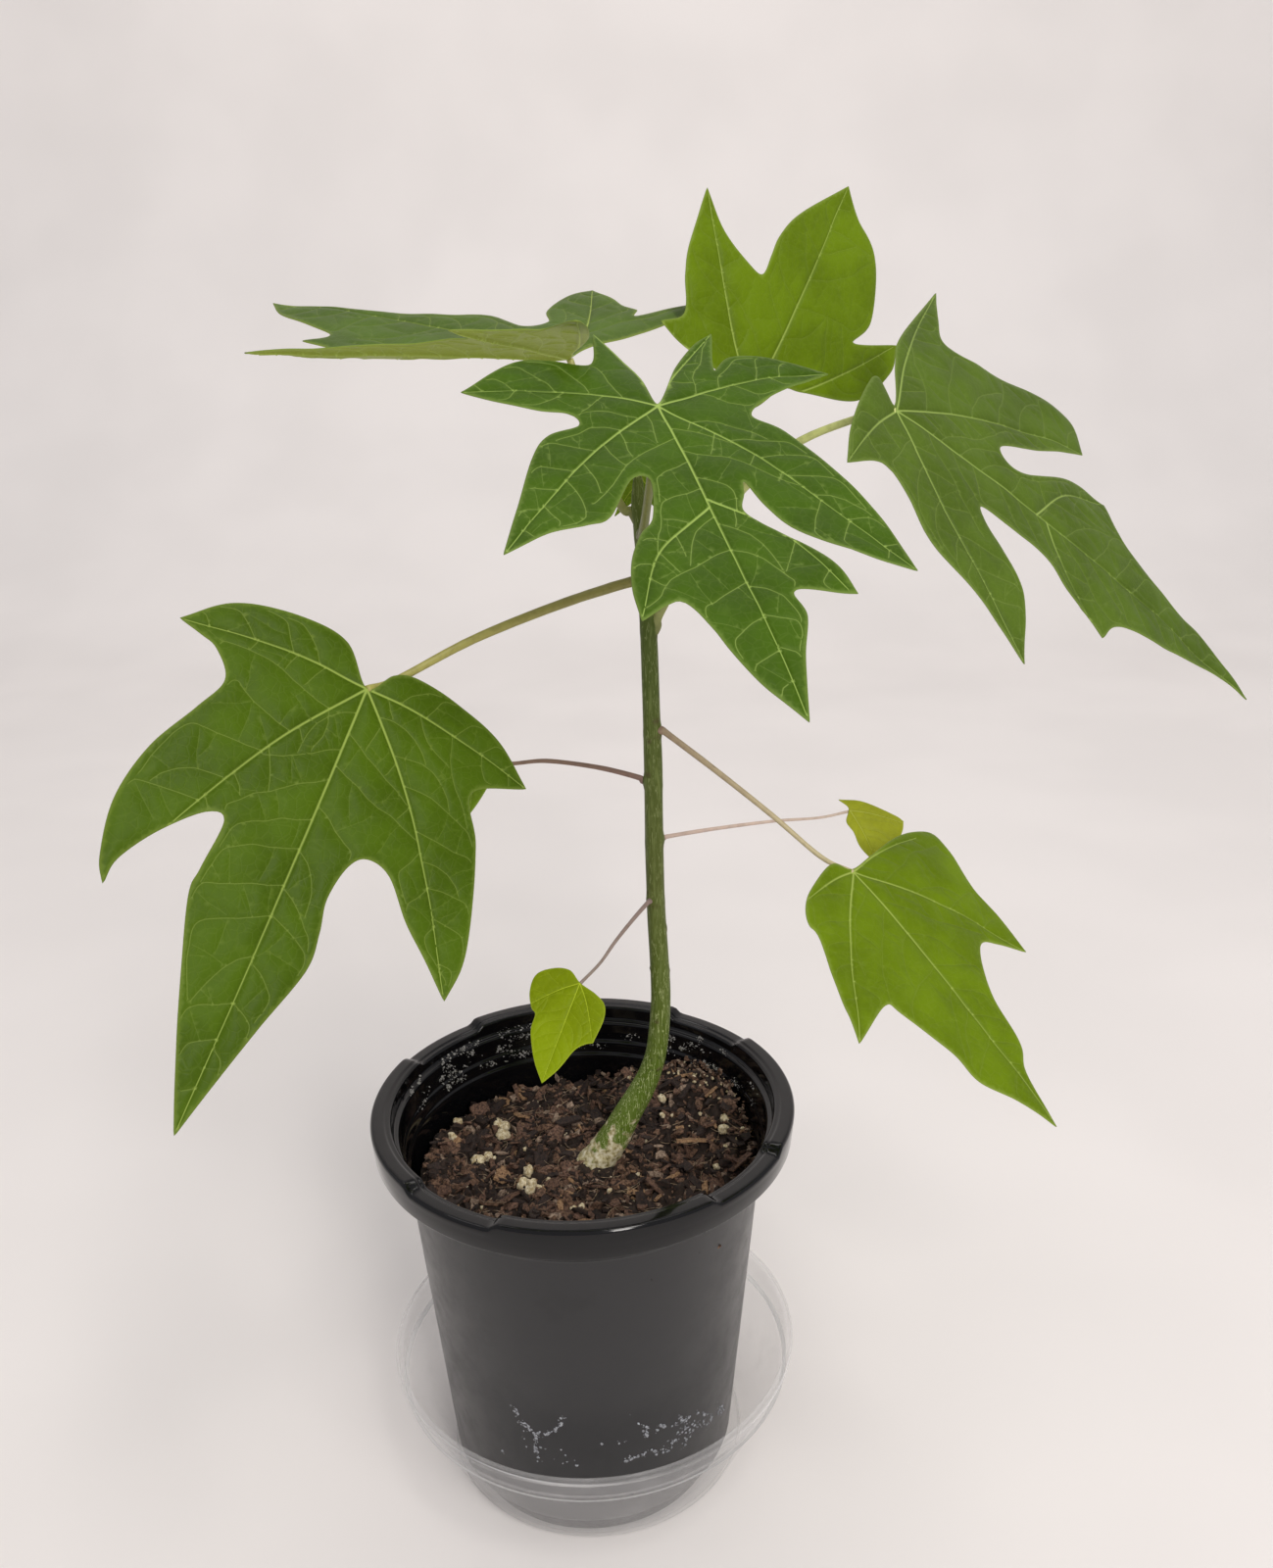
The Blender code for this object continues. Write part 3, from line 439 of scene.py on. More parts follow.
def saucer_material(tint, clearness):
    """Clear vacuum-formed vinyl with a milky haze: glossy, more see-through face on than where it turns edge on, with
    painted highlight lines, whiter and less clear, along the lip, the step and the foot.
    """
    made, add = new_material("clear_vinyl_sheet")
    turn = add("facing", 0.35)
    # smears 11 mm wide
    smear = add("noise", add("place"), 90.0, 5.0)
    # painted highlight: the sheet is whiter and less clear along its lip, step and foot lines
    painted_edge_highlight = add("stored", attribute_name="painted_edge_highlight")
    haze = add("plus", add("span", turn, 0.35, 1.0, (1.0 - clearness) * 0.55, 0.22),
                     add("span", smear, 0.5, 0.8, 0.0, 0.05), use_clamp=True)
    dress(made, Base_Color=add("mix", painted_edge_highlight, (*tint, 1.0), linear("#f3f3f2")),
          Alpha=add("most", haze, add("times", painted_edge_highlight, 0.92)),
          Roughness=add("span", smear, 0.3, 0.8, 0.06, 0.18), IOR=1.54, Normal=add("bump", smear, 0.15, 0.0002))
    return made


def grain_material(name, low, high, scale, rough=0.9):
    """Dry or damp granular stuff: matt, mottled between two colours. Its scale is given in grains a metre, so that
    900 is grains 1.1 mm across."""
    made, add = new_material(name)
    fleck = add("noise", add("place"), scale, 6.0, 0.7)
    dress(made, Base_Color=add("mix", add("span", fleck, 0.34, 0.68), low, high), Roughness=rough,
          Normal=add("bump", fleck, 0.8, 0.0006))
    return made


def board_material(tone):
    """Painted board: matt and pale, with a barely visible roller stipple 3 mm apart."""
    made, add = new_material("painted_board")
    place = add("place")
    stipple = add("noise", place, 330.0, 3.0)
    cloud = add("noise", place, 4.0, 2.0)
    dress(made, Base_Color=add("mix", add("span", cloud, 0.3, 0.7), scaled(tone, 0.97), scaled(tone, 1.02)),
          Roughness=0.75, Normal=add("bump", stipple, 0.12, 0.0003))
    return made


def smooth(t):
    t = min(max(t, 0.0), 1.0)
    return t * t * (3.0 - 2.0 * t)


def soft(t):
    t = np.clip(t, 0.0, 1.0)
    return t * t * (3.0 - 2.0 * t)


def spline(points, steps):
    """Catmull-Rom curve through points of any dimension, with the given number of steps a span."""
    ext = [[2.0 * a - b for a, b in zip(points[0], points[1])]] + [list(p) for p in points]
    ext.append([2.0 * a - b for a, b in zip(points[-1], points[-2])])
    out = []
    for k in range(1, len(ext) - 2):
        p0, p1, p2, p3 = ext[k - 1:k + 3]
        n = steps if isinstance(steps, int) else max(1, steps[k - 1])
        for s in range(n):
            t = s / n
            out.append([0.5 * (2.0 * b + (c - a) * t + (2.0 * a - 5.0 * b + 4.0 * c - d) * t * t
                               + (3.0 * b - a - 3.0 * c + d) * t * t * t)
                        for a, b, c, d in zip(p0, p1, p2, p3)])
    out.append(list(ext[-2]))
    return out


def mesh_object(name, verts, faces, materials, attributes=None, smooth_angle=None):
    mesh = bpy.data.meshes.new(name)
    mesh.from_pydata([tuple(v) for v in verts], [], faces)
    mesh.shade_smooth()
    if smooth_angle:
        mesh.set_sharp_from_angle(angle=math.radians(smooth_angle))
    for key, values in (attributes or {}).items():
        layer = mesh.attributes.new(key, "FLOAT", "POINT")
        layer.data.foreach_set("value", np.asarray(values, dtype=np.float32))
    for material in materials:
        mesh.materials.append(material)
    obj = bpy.data.objects.new(name, mesh)
    bpy.context.scene.collection.objects.link(obj)
    return obj


def settle(obj, slot, *nodes):
    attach(obj, "root")
    if nodes:
        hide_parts(*nodes)
    return obj


def heap(name, pieces, material, slot="soil", angle=None):
    """One object of many loose (vertices, faces) pieces."""
    verts = []
    faces = []
    for v, f in pieces:
        base = len(verts)
        verts.extend(v)
        faces.extend([[i + base for i in face] for face in f])
    return settle(mesh_object(name, verts, faces, [material], smooth_angle=angle), slot)


def tinted_heaps(name, skin, heaps, tones, scale, rough, angle):
    for key, low, high in tones:
        material = grain_material(skin + key, linear(low), linear(high), scale, rough)
        heap(name + key, heaps[key], material, angle=angle)


def on_ring(r, a):
    return r * math.cos(a), r * math.sin(a)


def bearings(sides):
    return [TURN * i / sides for i in range(sides)]


def ring_faces(counts):
    """Faces from each ring of vertices to the next. A ring of one vertex is a pole."""
    sides = max(counts)
    faces = []
    low = 0
    for c0, c1 in zip(counts, counts[1:]):
        high = low + c0
        for i in range(sides):
            j = (i + 1) % sides
            faces.append(list(dict.fromkeys((low + i % c0, low + j % c0, high + j % c1, high + i % c1))))
        low = high
    return faces


def turned(profile, sides, x=0.0, y=0.0):
    """Vertices and faces of a body of revolution round x, y whose profile starts and ends on the axis."""
    verts = [(x, y, profile[0][1])]
    for r, z in profile[1:-1]:
        for dx, dy in (on_ring(r, a) for a in bearings(sides)):
            verts.append((x + dx, y + dy, z))
    verts.append((x, y, profile[-1][1]))
    return verts, ring_faces([1] + [sides] * (len(profile) - 2) + [1])


def rounded(profile, radius, steps):
    """Profile with its corners rounded by a short quadratic curve."""
    out = [profile[0]]
    for before, here, after in zip(profile, profile[1:], profile[2:]):
        a = math.dist(before, here)
        b = math.dist(here, after)
        r = min(radius, 0.45 * a, 0.45 * b)
        p = [here[i] + (before[i] - here[i]) * r / a for i in (0, 1)]
        q = [here[i] + (after[i] - here[i]) * r / b for i in (0, 1)]
        for s in range(steps + 1):
            t = s / steps
            out.append(tuple((1 - t) ** 2 * p[i] + 2 * t * (1 - t) * here[i] + t * t * q[i] for i in (0, 1)))
    out.append(profile[-1])
    return out


def lumpy_grain(rng, centre, size, stretch, detail, rough=0.45):
    """One irregular grain: a knobbly ball squashed and turned at random."""
    bm = bmesh.new()
    bmesh.ops.create_icosphere(bm, subdivisions=detail, radius=1.0)
    seed = Vector([rng.uniform(0, 90) for _ in range(3)])
    turn = Matrix.Rotation(rng.uniform(0, 6.28), 3, Vector((rng.gauss(0, 1), rng.gauss(0, 1), rng.gauss(0, 1) + 0.1)))
    verts = []
    for v in bm.verts:
        k = 1.0 + rough * noise.noise(v.co * 1.4 + seed)
        co = v.co * Vector(stretch) * (k * size)
        verts.append(turn @ co + centre)
    faces = [[v.index for v in f.verts] for f in bm.faces]
    bm.free()
    return verts, faces


def closed(line):
    return np.vstack((line, line[:1]))


def inside(x, y, polygon):
    """Which of the points x, y lie in the polygon."""
    hit = np.zeros(x.shape, bool)
    for (ax, ay), (bx, by) in zip(polygon, np.roll(polygon, -1, axis=0)):
        if ay != by:
            hit ^= ((ay > y) != (by > y)) & (x < (bx - ax) * (y - ay) / (by - ay) + ax)
    return hit


def line_distance(points, lines):
    """Distance from each point to the nearest of some polylines."""
    best = np.full(len(points), 1e18)
    x = np.ascontiguousarray(points[:, 0])
    y = np.ascontiguousarray(points[:, 1])
    for line in lines:
        for (ax, ay), (bx, by) in zip(line.tolist(), line[1:].tolist()):
            dx = bx - ax
            dy = by - ay
            rx = x - ax
            ry = y - ay
            t = (rx * dx + ry * dy) / max(dx * dx + dy * dy, 1e-12)
            np.minimum(np.maximum(t, 0.0, out=t), 1.0, out=t)
            rx -= t * dx
            ry -= t * dy
            np.minimum(best, rx * rx + ry * ry, out=best)
    return np.sqrt(best)


def polar(bearing, reach):
    return np.array(on_ring(reach, math.radians(bearing)))


def margin(outline, step):
    """Outline in the blade's own plane, in mm: curves between the pointed tips."""
    runs = [[polar(*station) for station in run] for run in outline]
    points = []
    for before, run in zip(runs, runs[1:] + runs[:1]):
        line = [before[-1], *run]
        steps = [max(1, round(math.dist(a, b) / step)) for a, b in zip(line, line[1:])]
        points.extend(spline(line, steps)[:-1])
    return np.array(points)


def main_vein(bearing, reach, lean):
    """A main vein from the hub to a lobe's tip, bowed a little to one side."""
    tip = polar(bearing, reach * 0.985)
    across = np.array((-tip[1], tip[0])) * lean
    return np.array(spline([np.zeros(2), tip * 0.33 + across, tip * 0.67 + across * 0.8, tip], 12))


class Chart:
    """Map of one blade on a fine grid: depth inside the margin, distance to each main vein and veins laid so far."""

    def __init__(self, edge, mains, step):
        self.step = step
        self.low = edge.min(0) - 4.0 * step
        shape = np.ceil((edge.max(0) + 4.0 * step - self.low) / step).astype(int) + 1
        gx, gy = np.meshgrid(*(self.low[i] + step * np.arange(shape[i]) for i in (0, 1)), indexing="ij")
        spots = np.column_stack((gx.ravel(), gy.ravel()))
        away = line_distance(spots, [closed(edge)])
        self.depth = np.where(inside(spots[:, 0], spots[:, 1], edge), away, -away).reshape(shape)
        self.slope = np.gradient(self.depth, step)
        self.near = [line_distance(spots, [m]).reshape(shape) for m in mains]
        self.taken = np.zeros(shape, dtype=int)
        self.laid = 0

    def cell(self, spot):
        i, j = np.round((spot - self.low) / self.step).astype(int)
        return min(max(i, 0), self.depth.shape[0] - 1), min(max(j, 0), self.depth.shape[1] - 1)

    def lay(self, line):
        self.laid += 1
        for spot in line:
            i, j = self.cell(spot)
            self.taken[max(i - 1, 0):i + 2, max(j - 1, 0):j + 2] = self.laid

    def grow(self, start, heading, sweep, forward, own, rng, size, most):
        """One vein that zigzags on from start, turns along the margin near it and stops where it meets another."""
        line = [start]
        here = start
        stride = STRIDE * size
        born = self.taken[self.cell(start)]
        for n in range(int(most / stride)):
            if n and n % 5 == 0:
                heading += math.radians(rng.uniform(-17.0, 17.0))
            heading -= sweep
            cell = self.cell(here)
            if n > 3 and self.depth[cell] < 3.4 * size and forward is not None:
                inward = np.array((self.slope[0][cell], self.slope[1][cell]))
                along = np.array((-inward[1], inward[0]))
                if along @ forward < 0.0:
                    along = -along
                turn = math.atan2(along[1], along[0]) - heading
                heading += 0.30 * ((turn + math.pi) % TURN - math.pi)
            here = here + stride * np.array(on_ring(1.0, heading))
            cell = self.cell(here)
            if self.depth[cell] < 0.9 * size:
                break
            line.append(here)
            if n > 3 and self.taken[cell] not in (0, born):
                break
            if n > 3 and any(m[cell] < 0.8 * size for k, m in enumerate(self.near) if k != own):
                break
        return np.array(line)


def lengths(line):
    """Length of a line up to each of its points."""
    return np.concatenate(([0.0], np.cumsum(np.hypot(*np.diff(line, axis=0).T))))


def side_veins(chart, mains, rng, gap, size):
    """Side veins that leave each main vein in turn on both sides and loop forward near the margin."""
    out = []
    for k, main in enumerate(mains):
        length = lengths(main)
        for sign in (1, -1):
            at = length[-1] * 0.94 - rng.uniform(0.0, gap * 0.5)
            while at > gap * 0.55:
                i = min(max(int(np.searchsorted(length, at)) - 1, 0), len(main) - 2)
                ahead = (main[i + 1] - main[i]) / np.hypot(*(main[i + 1] - main[i]))
                start = main[i] + ahead * (at - length[i])
                heading = math.atan2(ahead[1], ahead[0]) + sign * math.radians(rng.uniform(54.0, 72.0))
                line = chart.grow(start, heading, sign * math.radians(0.9), ahead, k, rng, size, 42.0 * size)
                if len(line) > 4:
                    chart.lay(line[2:])
                    out.append(line)
                at -= gap * rng.uniform(0.75, 1.3)
    return out


def link_veins(chart, sides, rng, gap, size):
    """Fine links from one side vein to the next, which part the blade into small fields."""
    out = []
    for line in sides:
        at = rng.uniform(0.4, 1.0) * gap
        sign = rng.choice((1, -1))
        while at < len(line) * STRIDE * size:
            i = min(int(at / (STRIDE * size)), len(line) - 2)
            ahead = line[i + 1] - line[i]
            heading = math.atan2(ahead[1], ahead[0]) + sign * math.radians(rng.uniform(62.0, 95.0))
            link = chart.grow(line[i], heading, 0.0, None, -1, rng, size, 12.0 * size)
            if len(link) > 3:
                chart.lay(link[2:])
                out.append(link)
            sign = -sign
            at += gap * rng.uniform(0.6, 1.3)
    return out


def lanes(lines, offsets, pitch):
    """Points beside each line at the given offsets, a pitch apart."""
    out = []
    for line in lines:
        length = lengths(line)
        count = max(2, int(length[-1] / pitch) + 1)
        at = np.linspace(0.0, length[-1], count)
        centre = np.column_stack((np.interp(at, length, line[:, 0]), np.interp(at, length, line[:, 1])))
        ahead = np.gradient(centre, axis=0)
        ahead /= np.maximum(np.hypot(*ahead.T), 1e-9)[:, None]
        across = np.column_stack((-ahead[:, 1], ahead[:, 0]))
        for offset in offsets:
            out.append(centre + across * offset)
    return np.vstack(out) if out else np.zeros((0, 2))


def thinned(points, cell):
    """The points with any that share a small cell with an earlier one left out."""
    keys = np.round(points / cell).astype(int)
    _, first = np.unique(keys, axis=0, return_index=True)
    return points[np.sort(first)]


def blade_frame(face, aim):
    normal = Vector(face).normalized()
    along = Vector(aim)
    along = (along - normal * along.dot(normal)).normalized()
    return normal, along, normal.cross(along)


def field(points, scale, seed):
    """Smooth noise from -1 to 1 at the points, with the given size of its swells in mm."""
    return np.array([noise.noise(Vector((p[0] / scale, p[1] / scale, seed))) for p in points])


def lay_veins(leaf, edge, size, rng):
    """Main veins, side veins and links of one blade, as lines in its own plane."""
    mains = [main_vein(b, r, 0.035 * math.copysign(1, b) if b else 0.0) for b, r in leaf["mains"]]
    for start, bearing, tip_reach in leaf.get("branches", ()):
        root = mains[0][np.argmin(np.abs(np.hypot(*mains[0].T) - start))]
        tip = polar(bearing, tip_reach * 0.985)
        side = np.array((-(tip - root)[1], (tip - root)[0])) * 0.10 * -math.copysign(1, bearing)
        mains.append(np.array(spline([root, (root + tip) / 2 - side, tip], 14)))
    chart = Chart(edge, mains, 0.8 * size)
    sides = side_veins(chart, mains, rng, 11.0 * size, size)
    return mains, sides, link_veins(chart, sides, rng, 9.5 * size, size)


def blade_mesh(edge, mains, sides, links, spacing, size, wide, thin):
    """Flat mesh of a blade: its margin, lanes on and beside every vein, and an even lattice between."""
    low = edge.min(0)
    high = edge.max(0)
    pitch = spacing * 0.866
    rows = int((high[1] - low[1]) / pitch) + 2
    cols = int((high[0] - low[0]) / spacing) + 2
    grid = np.array([((c + 0.5 * (r % 2)) * spacing + low[0], r * pitch + low[1])
                     for r in range(rows) for c in range(cols)])
    beside = np.vstack((lanes(mains, [wide * k for k in (0.0, -0.5, 0.5, -1.1, 1.1)], 0.95 * size),
                        lanes(sides, [thin * k for k in (0.0, -1.0, 1.0)], 0.8 * size),
                        lanes(links, [thin * k for k in (0.0, -0.8, 0.8)], 0.9 * size)))
    grid = grid[inside(grid[:, 0], grid[:, 1], edge)]
    grid = grid[line_distance(grid, mains) > 1.0 * size]
    grid = grid[line_distance(grid, sides + links) > 0.55 * size]
    beside = beside[inside(beside[:, 0], beside[:, 1], edge)]
    points = thinned(np.vstack((beside, grid)), 0.20 * size)
    points = points[line_distance(points, [closed(edge)]) > 0.35 * size]
    flat = [Vector(p) for p in np.vstack((edge, points)).tolist()]
    verts, _, faces = delaunay_2d_cdt(flat, [], [list(range(len(edge)))], 1, 1e-5)[:3]
    return np.array([(v.x, v.y) for v in verts]), faces


def nearest_main(plane, mains, wide):
    """Distance to the main vein that counts most at each point, and that vein's half width there."""
    d_main = np.full(len(plane), FAR)
    w_main = np.full(len(plane), wide)
    for m in mains:
        d = line_distance(plane, [m])
        left = np.hypot(*(plane - m[-1]).T) / max(np.hypot(*(m[0] - m[-1])), 1e-6)
        w = wide * (0.35 + 0.65 * np.clip(left, 0, 1))
        closer = d / w < d_main / w_main
        d_main = np.where(closer, d, d_main)
        w_main = np.where(closer, w, w_main)
    return d_main, w_main


def make_blade(name, leaf, settings, seed):
    rng = random.Random(seed)
    reach = max(station[1] for run in leaf["outline"] for station in run)
    # smaller blades have a finer mesh and finer veins
    size = 1.0 if reach > 60 else (0.62 if reach > 40 else 0.42)
    spacing = settings.spacing / MM * size
    # half the width of a main vein and of a side vein
    wide = 0.46 * size
    thin = 0.22 * size
    edge = margin(leaf["outline"], spacing * 0.8)
    mains, sides, links = lay_veins(leaf, edge, size, rng)
    plane, faces = blade_mesh(edge, mains, sides, links, spacing, size, wide, thin)
    count = len(plane)
    d_edge = line_distance(plane, [closed(edge)])
    d_main, w_main = nearest_main(plane, mains, wide)
    d_side = line_distance(plane, sides) if sides else np.full(count, FAR)
    d_link = line_distance(plane, links) if links else np.full(count, FAR)
    vein = soft(1.30 - d_main / (w_main * 0.85))
    second = soft(1.15 - d_side / (thin * 1.05))
    third = soft(1.10 - d_link / (thin * 0.72))
    halo = np.maximum(soft(1.0 - d_main / (w_main * 6.0)), 0.5 * soft(1.0 - d_side / (thin * 7.0)))
    # height over the blade's plane, in mm
    between = np.minimum(np.minimum(d_main, d_side + 0.3), d_link + 1.2)
    swell = soft(between / (4.0 * size)) * soft(d_edge / (3.0 * size))
    wave = field(plane, 26.0 * size, seed * 1.7) * soft(1.0 - d_edge / (24.0 * size))
    ripple = field(plane, 9.0 * size, seed * 3.1 + 9.0)
    lift = (leaf.get("fold", 0.0) * (np.hypot(plane[:, 1], 2.0) - 2.0) - leaf["droop"] * (plane ** 2).sum(1) / 10000.0
            + wave * settings.wave / MM * size * 1.3 + ripple * 0.20 * size + swell * settings.quilt / MM * size
            + 0.050 * np.minimum(d_main, 14.0) - 0.35 * size)
    half = settings.lamina / MM / 2.0 * (0.6 + 0.4 * size)
    groove = settings.groove / MM * size * (soft(1.7 - d_main / w_main) + 0.4 * second)
    rib = settings.rib / MM * size * (soft(1.7 - d_main / (w_main * 1.1)) + 0.35 * second + 0.15 * third)
    tops = np.column_stack((plane, lift + half - groove))
    lows = np.column_stack((plane, lift - half - rib * soft(d_edge / 1.5)))
    # the margin is rounded: a ring between top and underside stands a little proud
    border = {(a, b) for f in faces for a, b in zip(f, f[1:] + f[:1])}
    border = sorted((a, b) for a, b in border if (b, a) not in border)
    keys = sorted({a for a, _ in border})
    order = {v: i for i, v in enumerate(keys)}
    outward = np.zeros((len(keys), 2))
    for a, b in border:
        d = plane[b] - plane[a]
        out = np.array((d[1], -d[0])) / max(np.hypot(*d), 1e-9)
        outward[order[a]] += out
        outward[order[b]] += out
    outward /= np.maximum(np.hypot(*outward.T), 1e-9)[:, None]
    mids = np.column_stack((plane[keys] + outward * half * 0.9, lift[keys]))
    normal, along, side = blade_frame(leaf["face"], leaf["aim"])
    turn = np.array(Matrix((along, side, normal)).transposed())
    verts = (np.vstack((tops, lows, mids)) @ turn.T + np.array(leaf["hub"])) * MM
    shell = [list(f) for f in faces] + [[i + count for i in reversed(f)] for f in faces]
    for a, b in border:
        mid_a, mid_b = (2 * count + order[v] for v in (a, b))
        shell += [[b, a, mid_a, mid_b], [mid_b, mid_a, a + count, b + count]]
    ends = np.zeros(len(keys))
    edges = soft(1.0 - d_edge / (0.8 * size))
    attributes = {"under": np.concatenate((np.zeros(count), np.ones(count), ends + 0.5)),
                  "rim": np.concatenate((edges, edges, ends + 1.0))}
    for key, values in (("vein", vein), ("second", second), ("third", third), ("halo", halo)):
        attributes[key] = np.concatenate((values, values, ends))
    skin = leaf_blade_material("papaya_blade_" + name, leaf["tints"], leaf["veins"])
    obj = mesh_object("leaf_blade_" + name, verts, shell, [skin], attributes)
    corner = np.zeros(len(obj.data.loops), dtype=np.int32)
    obj.data.loops.foreach_get("vertex_index", corner)
    flat_uv = np.vstack((plane, plane, plane[keys])) / 100.0 + seed * 0.37
    layer = obj.data.uv_layers.new(name="plane")
    layer.data.foreach_set("uv", flat_uv[corner].astype(np.float32).ravel())
    settle(obj, "leaf_" + name, "blade_" + name)


def stem_station(z_mm):
    """Centre and radius of the stem at a height."""
    for low, high in zip(STEM_PATH, STEM_PATH[1:]):
        if low[1] <= z_mm <= high[1]:
            t = (z_mm - low[1]) / (high[1] - low[1])
            x, _, width = (a * (1.0 - t) + b * t for a, b in zip(low, high))
            return Vector((x, STEM_Y, z_mm)) * MM, width * MM / 2.0
    raise ValueError("height off the stem")


def swept(path, sides):
    """Round limb along (x, y, z, radius) stations: vertices, faces, share of the length and bearing of each vertex."""
    verts = []
    share = []
    side = Vector((0.0, -1.0, 0.0))
    last = len(path) - 1
    for k, station in enumerate(path):
        along = (Vector(path[min(k + 1, last)][:3]) - Vector(path[max(k - 1, 0)][:3])).normalized()
        side = (side - along * side.dot(along)).normalized()
        other = along.cross(side)
        for a in bearings(sides):
            verts.append(Vector(station[:3]) + (side * math.cos(a) + other * math.sin(a)) * station[3])
            share.append((k / last, a))
    ends = [list(reversed(range(sides))), [last * sides + i for i in range(sides)]]
    return verts, ring_faces([sides] * len(path)) + ends, share


def stalk_path(leaf):
    normal = blade_frame(leaf["face"], leaf["aim"])[0]
    centre, stem_r = stem_station(leaf["height"])
    r0, r1 = (w * MM / 2.0 for w in leaf["widths"])
    goal = Vector(leaf["hub"]) * MM
    toward = goal - centre
    level = Vector((toward.x, toward.y, 0.0)).normalized()
    start = centre + level * (stem_r + 0.0004 + r0 * abs(toward.normalized().z))
    back = (goal - start).normalized()
    square = math.sqrt(max(0.0, 1.0 - back.dot(normal) ** 2))
    end = goal - normal * (leaf["thick"] * MM / 2.0 + 0.0005 + r1 * max(square, 0.5))
    tuck = end - back * min(0.012, 0.3 * (goal - start).length) - normal * (0.0016 if square > 0.8 else 0.0004)
    tuck.z += leaf.get("rise", 0.0) * MM
    bend = Vector(leaf["bow"]) * MM
    final = goal - normal * (0.0004 + r1 * 0.55)
    one = start.lerp(tuck, 0.33) + bend
    # a stalk that rises steeply leaves the stem from lower down, in line with its own rise
    steep = smooth(((one - start).normalized().z - 0.3) / 0.6)
    foot = centre + level * (stem_r * (0.55 - 0.35 * steep)) - Vector((0.0, 0.0, 0.0035 * steep))
    two = start.lerp(tuck, 0.70) + bend
    soon = start.lerp(one, 0.12) + bend * 0.25
    start = start - level * (r0 * 0.9 * steep)
    stations = [(*foot, r0 * (1.45 - 0.2 * steep)), (*start, r0 * (1.28 - 0.2 * steep)), (*soon, r0 * 1.02),
                (*one, r0 * 0.70 + r1 * 0.30), (*two, r0 * 0.35 + r1 * 0.65), (*tuck, r1 * 1.02), (*final, r1 * 1.10)]
    return spline(stations, 9)


def make_stalk(name, leaf, seed):
    path = stalk_path(leaf)
    verts, faces, share = swept(path, 20)
    moved = []
    for v, (t, a) in zip(verts, share):
        centre = Vector(path[round(t * (len(path) - 1))][:3])
        k = 1.0 + 0.07 * noise.noise(v * 160.0 + Vector((seed, 0, 0))) + 0.04 * math.cos(3 * a + seed)
        moved.append(centre + (v - centre) * k)
    skin = stalk_material("leaf_stalk_" + name, leaf["stalk"])
    obj = mesh_object("leaf_stalk_" + name, moved, faces, [skin], {"along": [t for t, _ in share]})
    settle(obj, "stalk", "stalk_" + name)


class PAPAYA_OT_saucer(bpy.types.Operator):
    """Build the deep clear saucer with its stepped wall and double lip"""
    bl_idname = "papaya.saucer"
    bl_label = "Clear saucer"

    def execute(self, context):
        settings = context.scene.papaya.saucer
        profile = [(0.0, 0.0), (0.0200, 0.0), (0.0206, 0.0005), (0.0218, 0.0005), (0.0224, 0.0), (0.0560, 0.0),
                   (0.0602, 0.0004), (0.0618, 0.0016), (0.0786, 0.0378), (0.0790, 0.0386), (0.0806, 0.0392),
                   (0.0811, 0.0400), (0.0819, 0.0470), (0.0822, 0.0484), (0.0830, 0.0488), (0.0833, 0.0496),
                   (0.0830, 0.0505), (0.0824, 0.0505), (0.0818, 0.0499), (0.0812, 0.0499), (0.0807, 0.0505),
                   (0.0801, 0.0503), (0.0798, 0.0492), (0.0802, 0.0410), (0.0797, 0.0402), (0.0780, 0.0396),
                   (0.0776, 0.0388), (0.0610, 0.0026), (0.0598, 0.0014), (0.0560, 0.0010), (0.0226, 0.0010),
                   (0.0218, 0.0014), (0.0206, 0.0014), (0.0198, 0.0010), (0.0, 0.0010)]
        verts, faces = turned(rounded(profile, 0.0004, 2), 192, SAUCER_X, SAUCER_Y)
        shaped = []
        painted_edge_highlight = []
        for x, y, z in verts:
            dx, dy = x - SAUCER_X, y - SAUCER_Y
            r = math.hypot(dx, dy)
            k = 1.0
            if r > 1e-6:
                k += 0.0005 * math.sin(2 * math.atan2(dy, dx) + 0.6) * smooth(z / 0.05) / r
            shaped.append((SAUCER_X + dx * k, SAUCER_Y + dy * k, z))
            r *= k
            # painted highlight lines along the lip, the step and the foot, kept per vertex
            lip = smooth(1.0 - abs(r - 0.0830) / 0.0005) * float(z > 0.0485)
            step = smooth(1.0 - abs(z - 0.0389) / 0.0008) * float(r - z > 0.0400)
            foot = smooth(1.0 - math.hypot(r - 0.0612, z - 0.0010) / 0.0012) * float(r > 0.0604)
            painted_edge_highlight.append(max(lip * 0.45, step * 0.95, foot * 0.6))
        sheet = saucer_material(settings.tint, settings.clearness)
        obj = mesh_object("clear_saucer", shaped, faces, [sheet], {"painted_edge_highlight": painted_edge_highlight}, smooth_angle=50)
        settle(obj, "saucer", "saucer")
        return {"FINISHED"}


def apart(a, b):
    """Angle from b to a in degrees, from -180 to 180."""
    return (a - b + 180.0) % 360.0 - 180.0


def bell(a, middle, spread):
    """Bell curve over bearings in degrees."""
    return math.exp(-(apart(a, middle) / spread) ** 2)


def notch(a, depth):
    away = min(abs(apart(math.degrees(a), c)) for c in NOTCHES)
    return -depth * smooth((15.0 - away) / 2.6)


